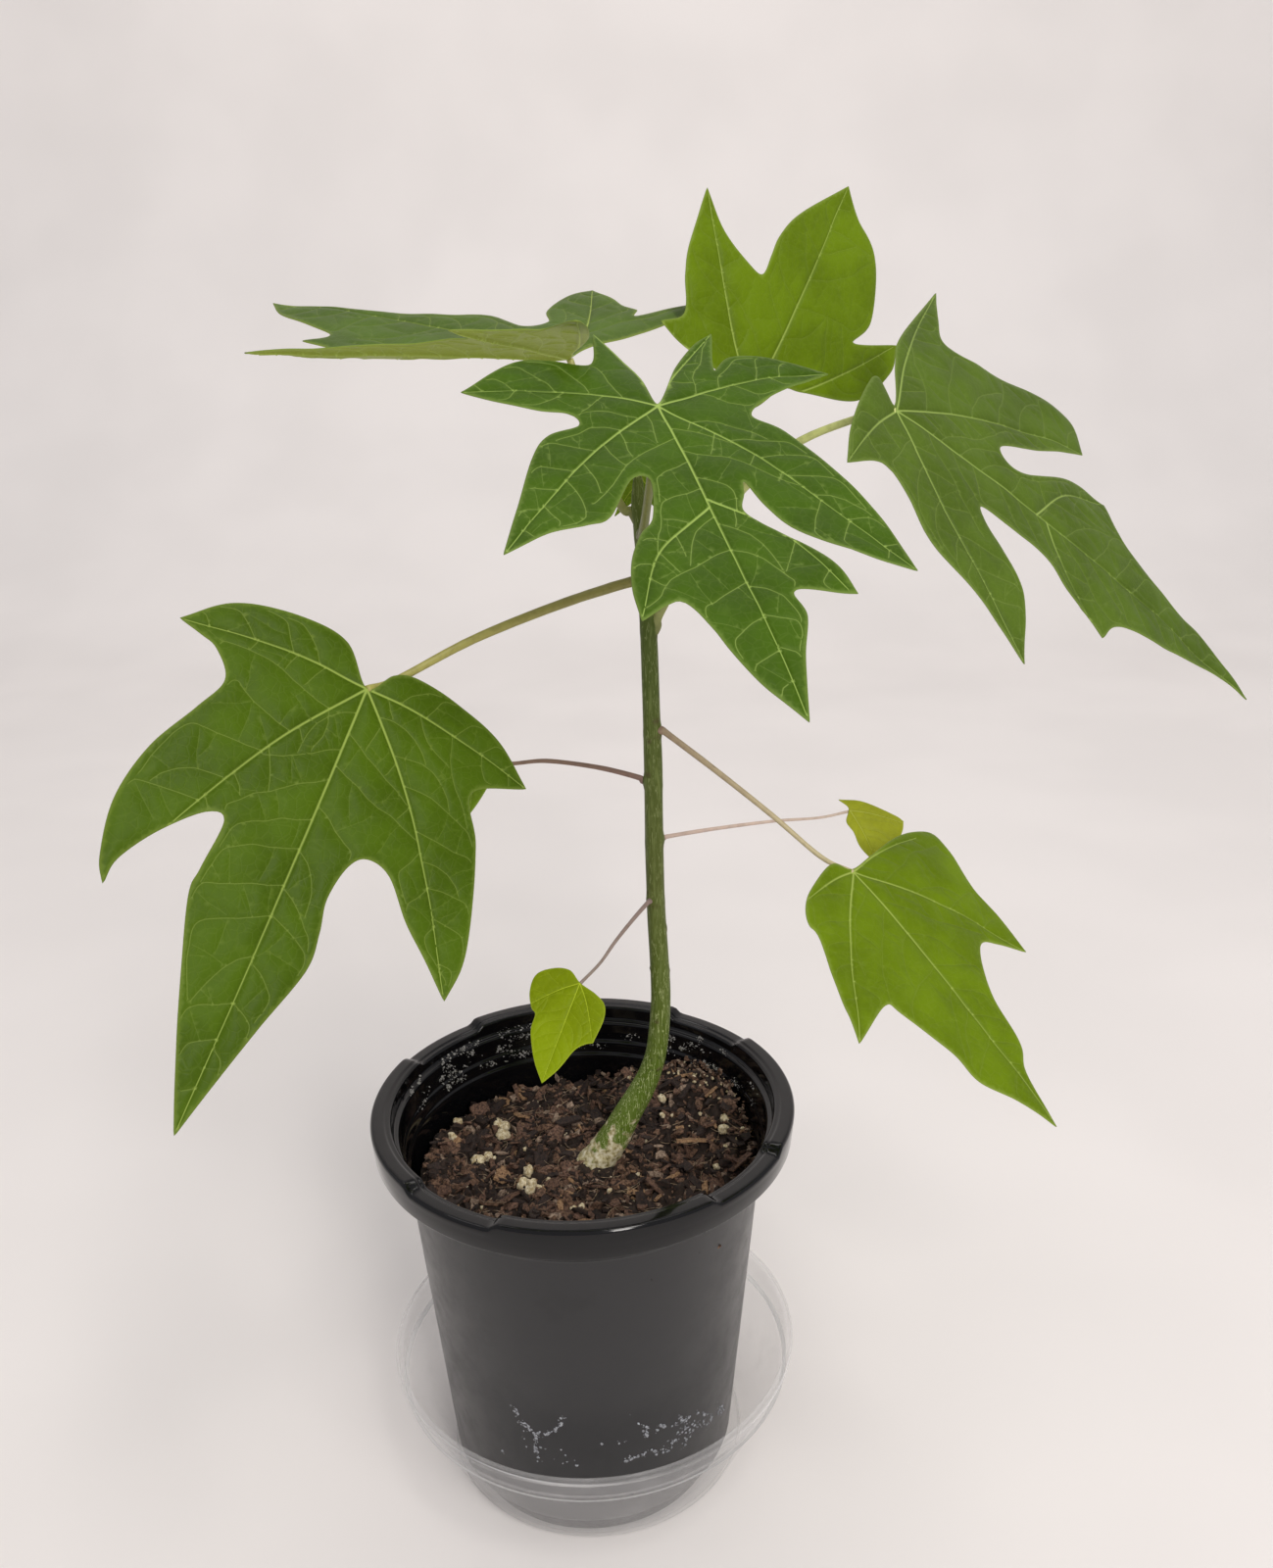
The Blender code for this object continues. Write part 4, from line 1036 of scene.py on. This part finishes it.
def lime_crust():
    """Crust of white lime that water has left low on the wall: crumbly runs of small flattened grains."""
    rng = random.Random(23)
    beads = []
    # the runs: bearing in degrees and height mm at both ends, half width mm, grains
    for a0, z0, a1, z1, half, count in ((-115.5, 65.0, -111.0, 60.0, 1.5, 46), (-111.0, 60.0, -107.9, 56.3, 0.8, 22),
                                        (-97.5, 68.0, -101.0, 60.4, 1.2, 30), (-101.0, 60.4, -107.0, 56.5, 0.8, 26),
                                        (-107.9, 56.3, -109.0, 47.8, 1.1, 34), (-109.0, 47.8, -107.2, 41.2, 0.8, 16),
                                        (-69.5, 58.0, -68.0, 53.0, 0.9, 14), (-63.5, 57.0, -61.0, 54.5, 0.9, 12),
                                        (-55.5, 57.0, -51.6, 48.4, 1.4, 34), (-58.0, 52.0, -50.0, 52.0, 1.5, 22),
                                        (-77.6, 44.1, -68.4, 43.9, 1.1, 30), (-68.4, 43.9, -58.2, 42.0, 1.0, 26),
                                        (-60.0, 46.0, -48.0, 41.0, 2.2, 44), (-48.0, 44.0, -36.0, 40.0, 2.6, 40),
                                        (-36.0, 44.0, -28.0, 36.0, 2.0, 22), (-79.0, 54.2, -76.0, 53.0, 0.6, 5),
                                        (-85.5, 53.8, -84.5, 53.5, 0.4, 3), (-123.4, 40.7, -122.8, 39.0, 0.3, 3),
                                        (-116.0, 57.0, -95.0, 44.0, 3.0, 16), (-72.0, 60.0, -40.0, 44.0, 5.0, 34)):
        for _ in range(count):
            t = rng.random()
            drift = 2.6 * noise.noise(Vector((t * 4.0, a0, 0.0))) * half
            a = math.radians(a0 + (a1 - a0) * t)
            t = round(t * 5.0) / 5.0 + rng.gauss(0.0, 0.06)
            z = (z0 + (z1 - z0) * t) * MM + (drift + rng.gauss(0.0, 0.5 * half)) * MM
            r = WALL_RADIUS + (z - WALL_FOOT) * WALL_SLOPE + 0.0001
            a += rng.gauss(0.0, 0.45 * half) * MM / r
            here = Vector((*on_ring(r, a), z))
            grain = rng.choice((0.18, 0.25, 0.35, 0.50, 0.75)) * MM
            v, f = lumpy_grain(rng, Vector((0.0, 0.0, 0.0)), grain, (1.0, rng.uniform(0.5, 0.9), 0.8), 1)
            out = Vector((*on_ring(1.0, a), 0.0))
            beads.append(([p - out * (p.dot(out) * 0.6) + here for p in v], f))
    heap("lime_crust", beads, grain_material("dry_lime", linear("#66676a"), linear("#bfc2c8"), 1500.0), "pot")


class PAPAYA_OT_pot(bpy.types.Operator):
    """Build the nursery pot: foot, tapering wall, stepped neck and a flat rim with four sunk segments"""
    bl_idname = "papaya.pot"
    bl_label = "Nursery pot"

    def execute(self, context):
        settings = context.scene.papaya.pot
        top = settings.height
        rim = settings.rim_radius
        inner = rim - 0.0080
        seat = 0.0015
        profile = [(0.0, seat + 0.0006), (0.0440, seat + 0.0006), (0.0450, seat), (0.0518, seat),
                   (0.0524, seat + 0.0030), (0.0530, seat + 0.0095), (0.0548, seat + 0.0104), (0.0578, seat + 0.0108),
                   (0.0581, seat + 0.0118), (0.0697, 0.1430), (0.0702, 0.1442), (0.0716, 0.1450), (0.0722, 0.1490),
                   (0.0727, 0.1555), (0.0756, 0.1600), (0.0761, top - 0.0018), (rim - 0.0016, top - 0.0018),
                   (rim - 0.0024, top - 0.0120), (rim - 0.0010, top - 0.0122), (rim - 0.0003, top - 0.0060),
                   (rim, top - 0.0012), (rim - 0.0006, top - 0.0002), (rim - 0.0014, top),
                   (inner + 0.0030, top), (inner + 0.0022, top - 0.0005), (inner + 0.0008, top - 0.0005),
                   (inner, top - 0.0012), (inner - 0.0002, top - 0.0060), (inner - 0.0008, top - 0.0068),
                   (inner - 0.0022, top - 0.0070), (inner - 0.0027, top - 0.0080), (0.0713, 0.1535),
                   (0.0708, 0.1506), (0.0700, 0.1497), (0.0696, 0.1480), (0.0694, 0.1452), (0.0686, 0.1442),
                   (0.0682, 0.1425), (0.0567, seat + 0.0131), (0.0556, seat + 0.0120), (0.0514, seat + 0.0109),
                   (0.0504, seat + 0.0022), (0.0, seat + 0.0022)]
        verts, faces = turned(rounded(profile, 0.0007, 3), 288)
        moved = []
        for x, y, z in verts:
            a = math.atan2(y, x)
            r = math.hypot(x, y)
            dz = notch(a, settings.notch_depth) if z > top - 0.0030 and r > inner - 0.0012 else 0.0
            sway = 0.00018 * math.sin(3 * a + 1.0) * smooth(z / top) + 0.00006 * math.sin(z * 900.0) * (r > 0.056)
            k = (r + sway) / r if r > 1e-6 else 1.0
            moved.append((x * k, y * k, z + dz))
        obj = mesh_object("nursery_pot", moved, faces,
                          [pot_wall_material(tuple(settings.wall)), pot_rim_material(tuple(settings.rim))],
                          smooth_angle=60)
        lime_crust()
        # the rim and the inside are polished
        for polygon in obj.data.polygons:
            x, y, z = polygon.center
            within = math.hypot(x, y) < WALL_RADIUS + (z - WALL_FOOT) * 0.0888 - 0.0006
            polygon.material_index = int(z > 0.1435 or within)
        settle(obj, "pot", "pot")
        return {"FINISHED"}


def soil_height(x, y):
    """Top of the soil, banked against the wall at the back right and at the left."""
    a = math.degrees(math.atan2(y, x))
    rise = smooth((math.hypot(x, y) - 0.030) / 0.036)
    return 0.1315 + rise * (0.0172 * bell(a, 38.0, 36.0) + 0.0060 * bell(a, 172.0, 30.0))


def soil_radius(a, z):
    """Reach of the soil: just inside the wall, shrunk back from it along the left."""
    t = (z - 0.0146) / (0.1440 - 0.0146)
    wall = 0.0567 * (1.0 - t) + 0.0684 * t
    return wall - 0.0005 - 0.0026 * bell(math.degrees(a), 170.0, 30.0)


def soil_top(x, y):
    """Soil height with its lumps and hollows."""
    near = smooth((math.hypot(x - FOOT_X, y - FOOT_Y) - 0.004) / 0.012)
    lump = sum(size * noise.noise(Vector((x * scale, y * scale, seed)))
               for size, scale, seed in ((0.0030, 95.0, 3.0), (0.0034, 250.0, 7.0), (0.0012, 800.0, 1.0)))
    return soil_height(x, y) + lump * (0.35 + 0.65 * near)


def soil_spot(rng, margin_mm=1.2):
    """A free place on the soil, clear of the stem."""
    while True:
        a = rng.uniform(0.0, TURN)
        r = (soil_radius(a, SOIL_LEVEL) - margin_mm * MM) * math.sqrt(rng.random())
        x, y = on_ring(r, a)
        if math.hypot(x - FOOT_X, y - FOOT_Y) > 0.0085:
            return x, y, soil_top(x, y)


def soil_body(earth):
    """The mix as one lumpy solid down to the pot's floor."""
    sides, rings, floor, floor_radius = 260, 88, 0.0042, 0.0500
    verts = [(0.0, 0.0, soil_top(0.0, 0.0))]
    for k in range(1, rings + 1):
        drop = 0.0025 * smooth((k / rings - 0.955) / 0.045)
        for a in bearings(sides):
            reach = soil_radius(a, SOIL_LEVEL) + 0.0006 * noise.noise(Vector((a * 9.0, 0.0, 5.0)))
            x, y = on_ring(reach * k / rings, a)
            verts.append((x, y, soil_top(x, y) - drop))
    for z in (0.1200, 0.0700, 0.0180):
        verts.extend((*on_ring(soil_radius(a, z), a), z) for a in bearings(sides))
    verts.extend((*on_ring(floor_radius, a), floor) for a in bearings(sides))
    verts.append((0.0, 0.0, floor))
    # the rings run from the top down, so each face is turned over
    faces = [[f[0]] + f[:0:-1] for f in ring_faces([1] + [sides] * (rings + 4) + [1])]
    # the mix's own damp colour is darkened further as painted shade of the gaps between crumbs
    skin = grain_material("damp_mix_and_painted_gap_shade", scaled(earth, 0.42), scaled(earth, 1.75), 420.0)
    settle(mesh_object("potting_mix", verts, faces, [skin]), "soil", "soil")


def soil_crumbs(rng, count):
    """Crumbs of peat all over the soil, and some heaped against the wall."""
    heaps = {"dark": [], "brown": [], "grey": []}
    for _ in range(count):
        x, y, z = soil_spot(rng)
        grain = rng.choice((0.0006, 0.0009, 0.0012, 0.0016, 0.0022, 0.0030)) * rng.uniform(0.8, 1.2)
        shape = (1.0, rng.uniform(0.35, 0.8), rng.uniform(0.25, 0.6))
        made = lumpy_grain(rng, Vector((x, y, z + grain * 0.15)), grain, shape, 1, 0.9)
        heaps[rng.choice(("dark",) * 3 + ("brown",) * 3 + ("grey",))].append(made)
    for _ in range(420):
        a = math.radians(rng.uniform(-22.0, 74.0))
        up = rng.random() ** 1.6 * 0.0052 * smooth((30.0 - abs(math.degrees(a) - 30.0)) / 22.0 + 0.35)
        r = soil_radius(a, BANK_LEVEL) - rng.uniform(0.0004, 0.0030) * (1.0 - up / 0.008) - 0.0006
        x, y = on_ring(r, a)
        grain = rng.choice((0.0006, 0.0009, 0.0013, 0.0017)) * (1.0 - up / 0.012)
        made = lumpy_grain(rng, Vector((x, y, soil_top(x, y) + up)), grain, (1.0, 0.6, 0.5), 1, 0.9)
        heaps[rng.choice(("dark", "brown", "brown", "grey"))].append(made)
    tones = (("dark", "#0f0906", "#38251b"), ("brown", "#35231a", "#856651"), ("grey", "#5b483c", "#b39c88"))
    tinted_heaps("peat_crumbs_", "peat_", heaps, tones, 900.0, 0.9, 24)


def chip(rng, x, y, z, long, wide, thick, tilt, heading):
    """A bark flake: a thin, jagged, slightly bent board."""
    cells = 7
    turn = Matrix.Rotation(heading, 3, "Z") @ Matrix.Rotation(tilt, 3, "Y") @ Matrix.Rotation(
        rng.uniform(-0.6, 0.6), 3, "X")
    seed = rng.uniform(0, 50)
    verts = []
    for up in (1, -1):
        for i in range(cells + 1):
            t = i / cells
            half = wide / 2 * (0.40 + 0.60 * math.sin(math.pi * min(max(t, 0.06), 0.94)) ** 0.5)
            for side in (-1, 1):
                w = half * (1.0 + 0.55 * noise.noise(Vector((t * 7.0, side * 3.0, seed))))
                bow = 0.10 * long * (t - 0.5) ** 2
                lift = up * thick / 2 * (1 + 0.7 * noise.noise(Vector((t * 9, side, seed + 4)))) - bow
                verts.append(turn @ Vector(((t - 0.5) * long, side * w, lift)) + Vector((x, y, z)))
    n = (cells + 1) * 2
    faces = []
    for p in range(0, 2 * cells, 2):
        faces += [[p, p + 2, p + 3, p + 1], [n + p, n + p + 1, n + p + 3, n + p + 2],
                  [p, n + p, n + p + 2, p + 2], [p + 1, p + 3, n + p + 3, n + p + 1]]
    faces += [[0, 1, n + 1, n], [n - 2, n + n - 2, n + n - 1, n - 1]]
    return verts, faces


def soil_bark(rng, count):
    """Flakes of bark: small ones strewn freely and large ones in place."""
    heaps = {"brown": [], "tan": [], "black": []}
    for _ in range(count):
        x, y, z = soil_spot(rng, 3.0)
        long = rng.choice((2.4, 3.2, 4.0, 5.0, 6.5, 8.5, 11.0)) * MM
        made = chip(rng, x, y, z + 0.0005, long, long * rng.uniform(0.18, 0.55), rng.uniform(0.4, 1.1) * MM,
                    rng.gauss(0.0, 0.45), rng.uniform(0, 6.28))
        heaps[rng.choice(("brown",) * 6 + ("black",) * 5 + ("tan",))].append(made)
    # the large pieces: x mm, y mm, length mm, width mm, heading
    for key, x, y, long, wide, heading in (
            ("tan", 46.3, 9.3, 19.0, 4.6, 0.06), ("tan", 16.0, -14.8, 11.0, 2.8, -0.25),
            ("brown", -29.8, -16.5, 11.0, 8.5, 0.9), ("brown", -45.8, 37.0, 8.0, 6.0, 0.6),
            ("brown", -9.0, -2.0, 9.0, 5.0, 1.9), ("black", -8.0, 30.0, 11.0, 4.0, 0.5),
            ("brown", 30.0, 47.0, 12.0, 3.6, -0.2), ("tan", 42.0, 44.0, 10.0, 3.0, 0.4)):
        x *= MM
        y *= MM
        heaps[key].append(chip(rng, x, y, soil_top(x, y) + 0.0014, long * MM, wide * MM, 0.0013, 0.06, heading))
    tones = (("brown", "#301f17", "#80604e"), ("tan", "#6b4c35", "#b8946e"), ("black", "#120c09", "#3f2d26"))
    tinted_heaps("bark_chips_", "pine_bark_", heaps, tones, 1100.0, 0.82, 30)


def soil_fibres(rng, count):
    """Dry root fibres that arch over the soil."""
    strands = []
    for _ in range(count):
        x, y, z = soil_spot(rng, 4.0)
        heading = rng.uniform(0.0, 6.28)
        long = rng.uniform(4.0, 12.0) * MM
        bend = rng.uniform(-1.4, 1.4)
        up = rng.uniform(-0.1, 0.5)
        line = []
        for k in range(6):
            t = k / 5
            dx, dy = on_ring(long * t, heading + bend * t)
            line.append((x + dx, y + dy, z + 0.0012 + long * up * t * (1.0 - t), rng.uniform(0.08, 0.16) * MM))
        if all(math.hypot(a, b) < soil_radius(math.atan2(b, a), SOIL_LEVEL) - 0.001 for a, b, _, _ in line):
            strands.append(swept(spline(line, 2), 5)[:2])
    heap("root_fibres", strands, grain_material("dry_root_fibre", linear("#4a372b"), linear("#b39c80"), 500.0))


def soil_perlite(rng, count):
    """White grains: large ones in place, small ones strewn freely and along the bank."""
    grains = []
    # the large grains: x mm, y mm, radius mm
    for x, y, grain in ((-38.0, 30.6, 2.2), (-35.2, 29.2, 2.4), (-34.9, 22.2, 2.6), (-54.2, 28.4, 1.7),
                        (-54.7, 13.8, 1.7), (-43.6, 3.6, 2.5), (-39.9, 7.6, 1.9), (-22.6, -3.5, 2.1),
                        (-20.8, -13.5, 2.7), (-23.6, -12.2, 2.5), (-18.4, -12.0, 1.7), (-14.6, -5.5, 1.1),
                        (31.7, 36.4, 1.8), (32.0, 28.0, 1.5), (56.7, 17.2, 1.7), (55.8, 11.7, 2.1),
                        (24.8, 19.0, 1.2), (7.3, 57.2, 1.2), (-0.5, -26.3, 1.3), (-3.8, -24.6, 1.1),
                        (52.2, -4.2, 1.3), (9.9, -17.7, 1.0)):
        place = Vector((x * MM, y * MM, soil_top(x * MM, y * MM) + grain * MM * 0.75))
        grains.append(lumpy_grain(rng, place, grain * MM * 1.15, (1.0, 0.9, 0.78), 3))
    for _ in range(count):
        x, y, z = soil_spot(rng)
        grain = rng.choice((0.0004, 0.0005, 0.0007, 0.0010))
        grains.append(lumpy_grain(rng, Vector((x, y, z + grain * 0.5)), grain, (1.0, 0.85, 0.8), 2))
    for _ in range(46):
        a = math.radians(rng.gauss(36.0, 17.0))
        x, y = on_ring(soil_radius(a, BANK_LEVEL) - rng.uniform(0.001, 0.010), a)
        grain = rng.choice((0.0004, 0.0006, 0.0009))
        grains.append(lumpy_grain(rng, Vector((x, y, soil_top(x, y) + 0.0012)), grain, (1.0, 0.8, 0.6), 1, 0.8))
    heap("perlite_grains", grains, grain_material("expanded_perlite", linear("#ab9566"), linear("#f3e8cb"), 900.0))


def ledge_dust(rng):
    """Dust of perlite along the ledges inside the pot's neck."""
    heights = (0.1450, 0.1495, 0.1532, 0.1600)
    radii = (0.0692, 0.0700, 0.0709, 0.0716)
    spots = []
    for _ in range(64):
        middle, spread = ((146.0, 13.0), (118.0, 8.0), (44.0, 16.0), (95.0, 14.0))[rng.choice((0, 0, 0, 1, 2, 2, 3))]
        spots.append((rng.gauss(middle, spread), rng.choice((0.1480, 0.1505, 0.1530, 0.1560, 0.1600)),
                      rng.uniform(0.4, 2.6), rng.randint(4, 30)))
    dust = []
    for bearing, level, spread, count in spots:
        for _ in range(count):
            a = math.radians(bearing + rng.gauss(0.0, spread))
            z = level + rng.gauss(0.0, 0.0008)
            place = Vector((*on_ring(float(np.interp(z, heights, radii)), a), z))
            grain = rng.choice((0.00013, 0.00018, 0.00024, 0.00034, 0.0006))
            shape = (1.0, rng.uniform(0.5, 0.9), rng.uniform(0.4, 0.8))
            dust.append(lumpy_grain(rng, place, grain, shape, 1, 0.8))
    heap("perlite_dust", dust, grain_material("dry_perlite_dust", linear("#6a6864"), linear("#bcbab6"), 1200.0))


class PAPAYA_OT_soil(bpy.types.Operator):
    """Build the potting mix: a lumpy body with crumbs, bark chips, fibres and perlite, and dust on the pot's ledges"""
    bl_idname = "papaya.soil"
    bl_label = "Potting mix"

    def execute(self, context):
        settings = context.scene.papaya.soil
        rng = random.Random(11)
        soil_body((*settings.earth, 1.0))
        soil_crumbs(rng, settings.crumbs)
        soil_bark(rng, settings.chips)
        soil_fibres(rng, settings.fibres)
        soil_perlite(rng, settings.perlite)
        ledge_dust(rng)
        return {"FINISHED"}


def scar_marks(z, out, r):
    """How much the leaf scars swell the stem at a point, and how dark they make it."""
    grow = 0.0
    mark = 0.0
    for height, bearing, size in SCARS:
        cos, sin = on_ring(1.0, math.radians(bearing))
        turn = math.acos(max(-1.0, min(1.0, (out.x * cos + out.y * sin) / r)))
        away = math.hypot((z - height) / (size * 0.42), turn * r / MM / (size * 0.62))
        grow += 0.10 * smooth(1.4 - away) - 0.09 * smooth(1.0 - away * 1.3)
        mark = max(mark, smooth(1.5 - away * 1.1) * 0.9)
    return grow, mark


def joint_marks(z, out, r, centre):
    """The same for the joints of the leaf stalks, which swell toward their stalk."""
    grow = 0.0
    mark = 0.0
    for leaf in LEAVES.values():
        toward = Vector(leaf["hub"]) * MM - centre
        level = Vector((toward.x, toward.y, 0.0)).normalized()
        side = max(0.0, (out.x * level.x + out.y * level.y) / r)
        size = leaf["widths"][0] * 0.8 + 0.6
        above = z - leaf["height"]
        grow += 0.20 * smooth(1.0 - abs(above) / (size * 1.5)) * side ** 3
        grow += 0.03 * smooth(1.0 - abs(above + 1.5) / 2.5)
        mark = max(mark, 0.6 * smooth(1.0 - abs(above + size * 0.9) / 0.8) * side ** 2)
    return grow, mark


def growing_tip():
    """Four tiny folded leaves at the stem's tip."""
    base = Vector((26.0, STEM_Y, 400.5)) * MM
    bud = []
    # length in mm, lean and heading of each
    for long, lean, heading in ((6.5, 0.25, 0.4), (5.5, 0.35, 2.3), (5.0, 0.30, 4.4), (4.0, 0.10, 1.2)):
        axis = Vector((*on_ring(math.sin(lean), heading), math.cos(lean)))
        line = [(*(base + axis * (long * MM * t) + Vector((0, 0, 0.0004 * math.sin(3.0 * t)))),
                 (0.75 * math.sin(math.pi * (0.18 + 0.80 * t)) + 0.06) * MM) for t in (0, 0.2, 0.45, 0.7, 0.9, 1.0)]
        bud.append(swept(spline(line, 4), 10)[:2])
    tip = heap("growing_tip", bud, stalk_material("young_bud_skin", ("#7d8a3a", "#a2aa5a")), "stem")
    layer = tip.data.attributes.new("along", "FLOAT", "POINT")
    layer.data.foreach_set("value", [min(1.0, (v.co.z - 0.4) / 0.007) for v in tip.data.vertices])


class PAPAYA_OT_stem(bpy.types.Operator):
    """Build the stem: swept and tapering, with leaf scars, joints, streaked skin and a corky foot"""
    bl_idname = "papaya.stem"
    bl_label = "Stem"

    def execute(self, context):
        stations = ((2.6, STEM_LOW, 15.2), *STEM_PATH)
        path = spline([(x * MM, STEM_Y * MM, z * MM, width * MM / 2.0) for x, z, width in stations], 16)
        verts, faces, share = swept(path, 56)
        moved = []
        age = []
        marks = []
        for v, (t, a) in zip(verts, share):
            centre = Vector(path[round(t * (len(path) - 1))][:3])
            out = v - centre
            z = v.z / MM
            grow = 1.0 + 0.030 * noise.noise(Vector((*on_ring(1.6, a), z / 16.0)))
            grow += 0.018 * noise.noise(Vector((*on_ring(7.0, a), z / 30.0)))
            low = smooth((150.0 - z) / 14.0)
            grow += low * (0.075 * noise.noise(v * 420.0) + 0.050 * noise.noise(v * 1100.0))
            scar_grow, scar_mark = scar_marks(z, out, out.length)
            joint_grow, joint_mark = joint_marks(z, out, out.length, centre)
            moved.append(centre + out * (grow + scar_grow + joint_grow))
            age.append((z - STEM_LOW) / (STEM_TOP - STEM_LOW))
            marks.append(max(scar_mark, joint_mark))
        settle(mesh_object("papaya_stem", moved, faces, [stem_material()], {"age": age, "scar": marks}), "stem", "stem")
        growing_tip()
        return {"FINISHED"}


class PAPAYA_OT_stalks(bpy.types.Operator):
    """Build the ten tapering leaf stalks"""
    bl_idname = "papaya.stalks"
    bl_label = "Leaf stalks"

    def execute(self, context):
        for seed, (name, leaf) in enumerate(LEAVES.items()):
            make_stalk(name, leaf, seed + 1)
        return {"FINISHED"}


class PAPAYA_OT_blades(bpy.types.Operator):
    """Build the ten palmate blades with veins, quilting and wavy margins"""
    bl_idname = "papaya.blades"
    bl_label = "Leaf blades"

    def execute(self, context):
        for seed, (name, leaf) in enumerate(LEAVES.items()):
            make_blade(name, leaf, context.scene.papaya.leaf, seed + 1)
        return {"FINISHED"}


def build_floor(tone):
    """Pale floor that bends up into a far backdrop in one sweep."""
    near, bend, radius, top, wide = -4.5, 1.3, 0.9, 3.2, 4.5
    steps = 24
    line = [(near, 0.0)]
    for n in range(steps + 1):
        turn = math.radians(90.0 * n / steps)
        line.append((bend + radius * math.sin(turn), radius - radius * math.cos(turn)))
    line.append((bend + radius, top))
    verts = [(x, y, z) for x in (-wide, wide) for y, z in line]
    n = len(line)
    faces = [[i, i + n, i + n + 1, i + 1] for i in range(n - 1)]
    mesh_object("stage_floor", verts, faces, [board_material((*tone, 1.0))], smooth_angle=50)


class PAPAYA_OT_stage(bpy.types.Operator):
    """Set up the pale floor and backdrop, the soft lights and the camera"""
    bl_idname = "papaya.stage"
    bl_label = "Stage"

    def execute(self, context):
        settings = context.scene.papaya.stage
        build_floor(settings.floor)
        world = bpy.data.worlds.new("room")
        world.use_nodes = True
        back = world.node_tree.nodes["Background"]
        back.inputs["Color"].default_value = linear("#f3f2f6")
        back.inputs["Strength"].default_value = settings.sky
        context.scene.world = world
        plant, sweep = (0.02, 0.0, 0.25), (0.0, 2.2, 0.5)
        for name, energy, size, place, aim in (
                ("key_light", settings.key * 0.46, (0.34, 0.62), (0.69, -1.91, 1.18), plant),
                ("middle_light", settings.key * 0.26, (0.34, 0.62), (0.64, -1.42, 1.68), plant),
                ("top_light", settings.key * 0.28, (0.38, 0.62), (0.52, -0.84, 1.99), plant),
                ("far_light", settings.far, (2.4, 0.5), (0.0, 0.75, 2.3), sweep)):
            data = bpy.data.lights.new(name, "AREA")
            data.energy = energy
            data.shape = "RECTANGLE"
            data.size, data.size_y = size
            data.color = linear("#fffaf6")[:3]
            lamp = bpy.data.objects.new(name, data)
            lamp.location = place
            lamp.rotation_euler = (Vector(aim) - Vector(place)).to_track_quat("-Z", "Y").to_euler()
            context.scene.collection.objects.link(lamp)
        ahead = Vector((0.0, math.cos(CAMERA_PITCH), -math.sin(CAMERA_PITCH)))
        right = Vector((1.0, 0.0, 0.0))
        up = right.cross(ahead)
        cos, sin = on_ring(1.0, CAMERA_ROLL)
        right, up = right * cos + up * sin, up * cos - right * sin
        data = bpy.data.cameras.new("camera")
        data.sensor_width = SENSOR
        data.lens = CAMERA_FOCAL * SENSOR
        data.clip_start = 0.01
        camera = bpy.data.objects.new("camera", data)
        turn = Matrix((right, up, -ahead)).transposed().to_4x4()
        camera.matrix_world = Matrix.Translation(CAMERA_PLACE) @ turn
        context.scene.collection.objects.link(camera)
        context.scene.camera = camera
        context.scene.view_settings.view_transform = "Standard"
        return {"FINISHED"}


class PAPAYA_PT_parts(bpy.types.Panel):
    """Lists the pieces of the potted papaya"""
    bl_label = "Potted papaya"
    bl_space_type = "VIEW_3D"
    bl_region_type = "UI"
    bl_category = "Papaya"

    def draw(self, context):
        for operator in OPERATORS:
            self.layout.operator(operator.bl_idname)
        settings = context.scene.papaya
        for group in (settings.pot, settings.saucer, settings.soil, settings.leaf, settings.stage):
            box = self.layout.box()
            for key in group.bl_rna.properties.keys():
                if key not in ("rna_type", "name"):
                    box.prop(group, key)


OPERATORS = (PAPAYA_OT_stage, PAPAYA_OT_saucer, PAPAYA_OT_pot, PAPAYA_OT_soil, PAPAYA_OT_stem, PAPAYA_OT_stalks,
             PAPAYA_OT_blades)
CLASSES = (PotSettings, SaucerSettings, SoilSettings, LeafSettings, StageSettings, PapayaSettings,
           *OPERATORS, PAPAYA_PT_parts)


def register():
    for cls in CLASSES:
        bpy.utils.register_class(cls)
    bpy.types.Scene.papaya = PointerProperty(type=PapayaSettings)


def unregister():
    del bpy.types.Scene.papaya
    for cls in reversed(CLASSES):
        bpy.utils.unregister_class(cls)


def main():
    register()
    for operator in OPERATORS:
        group, name = operator.bl_idname.split(".")
        getattr(getattr(bpy.ops, group), name)()
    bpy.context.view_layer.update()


if __name__ == "__main__":
    main()
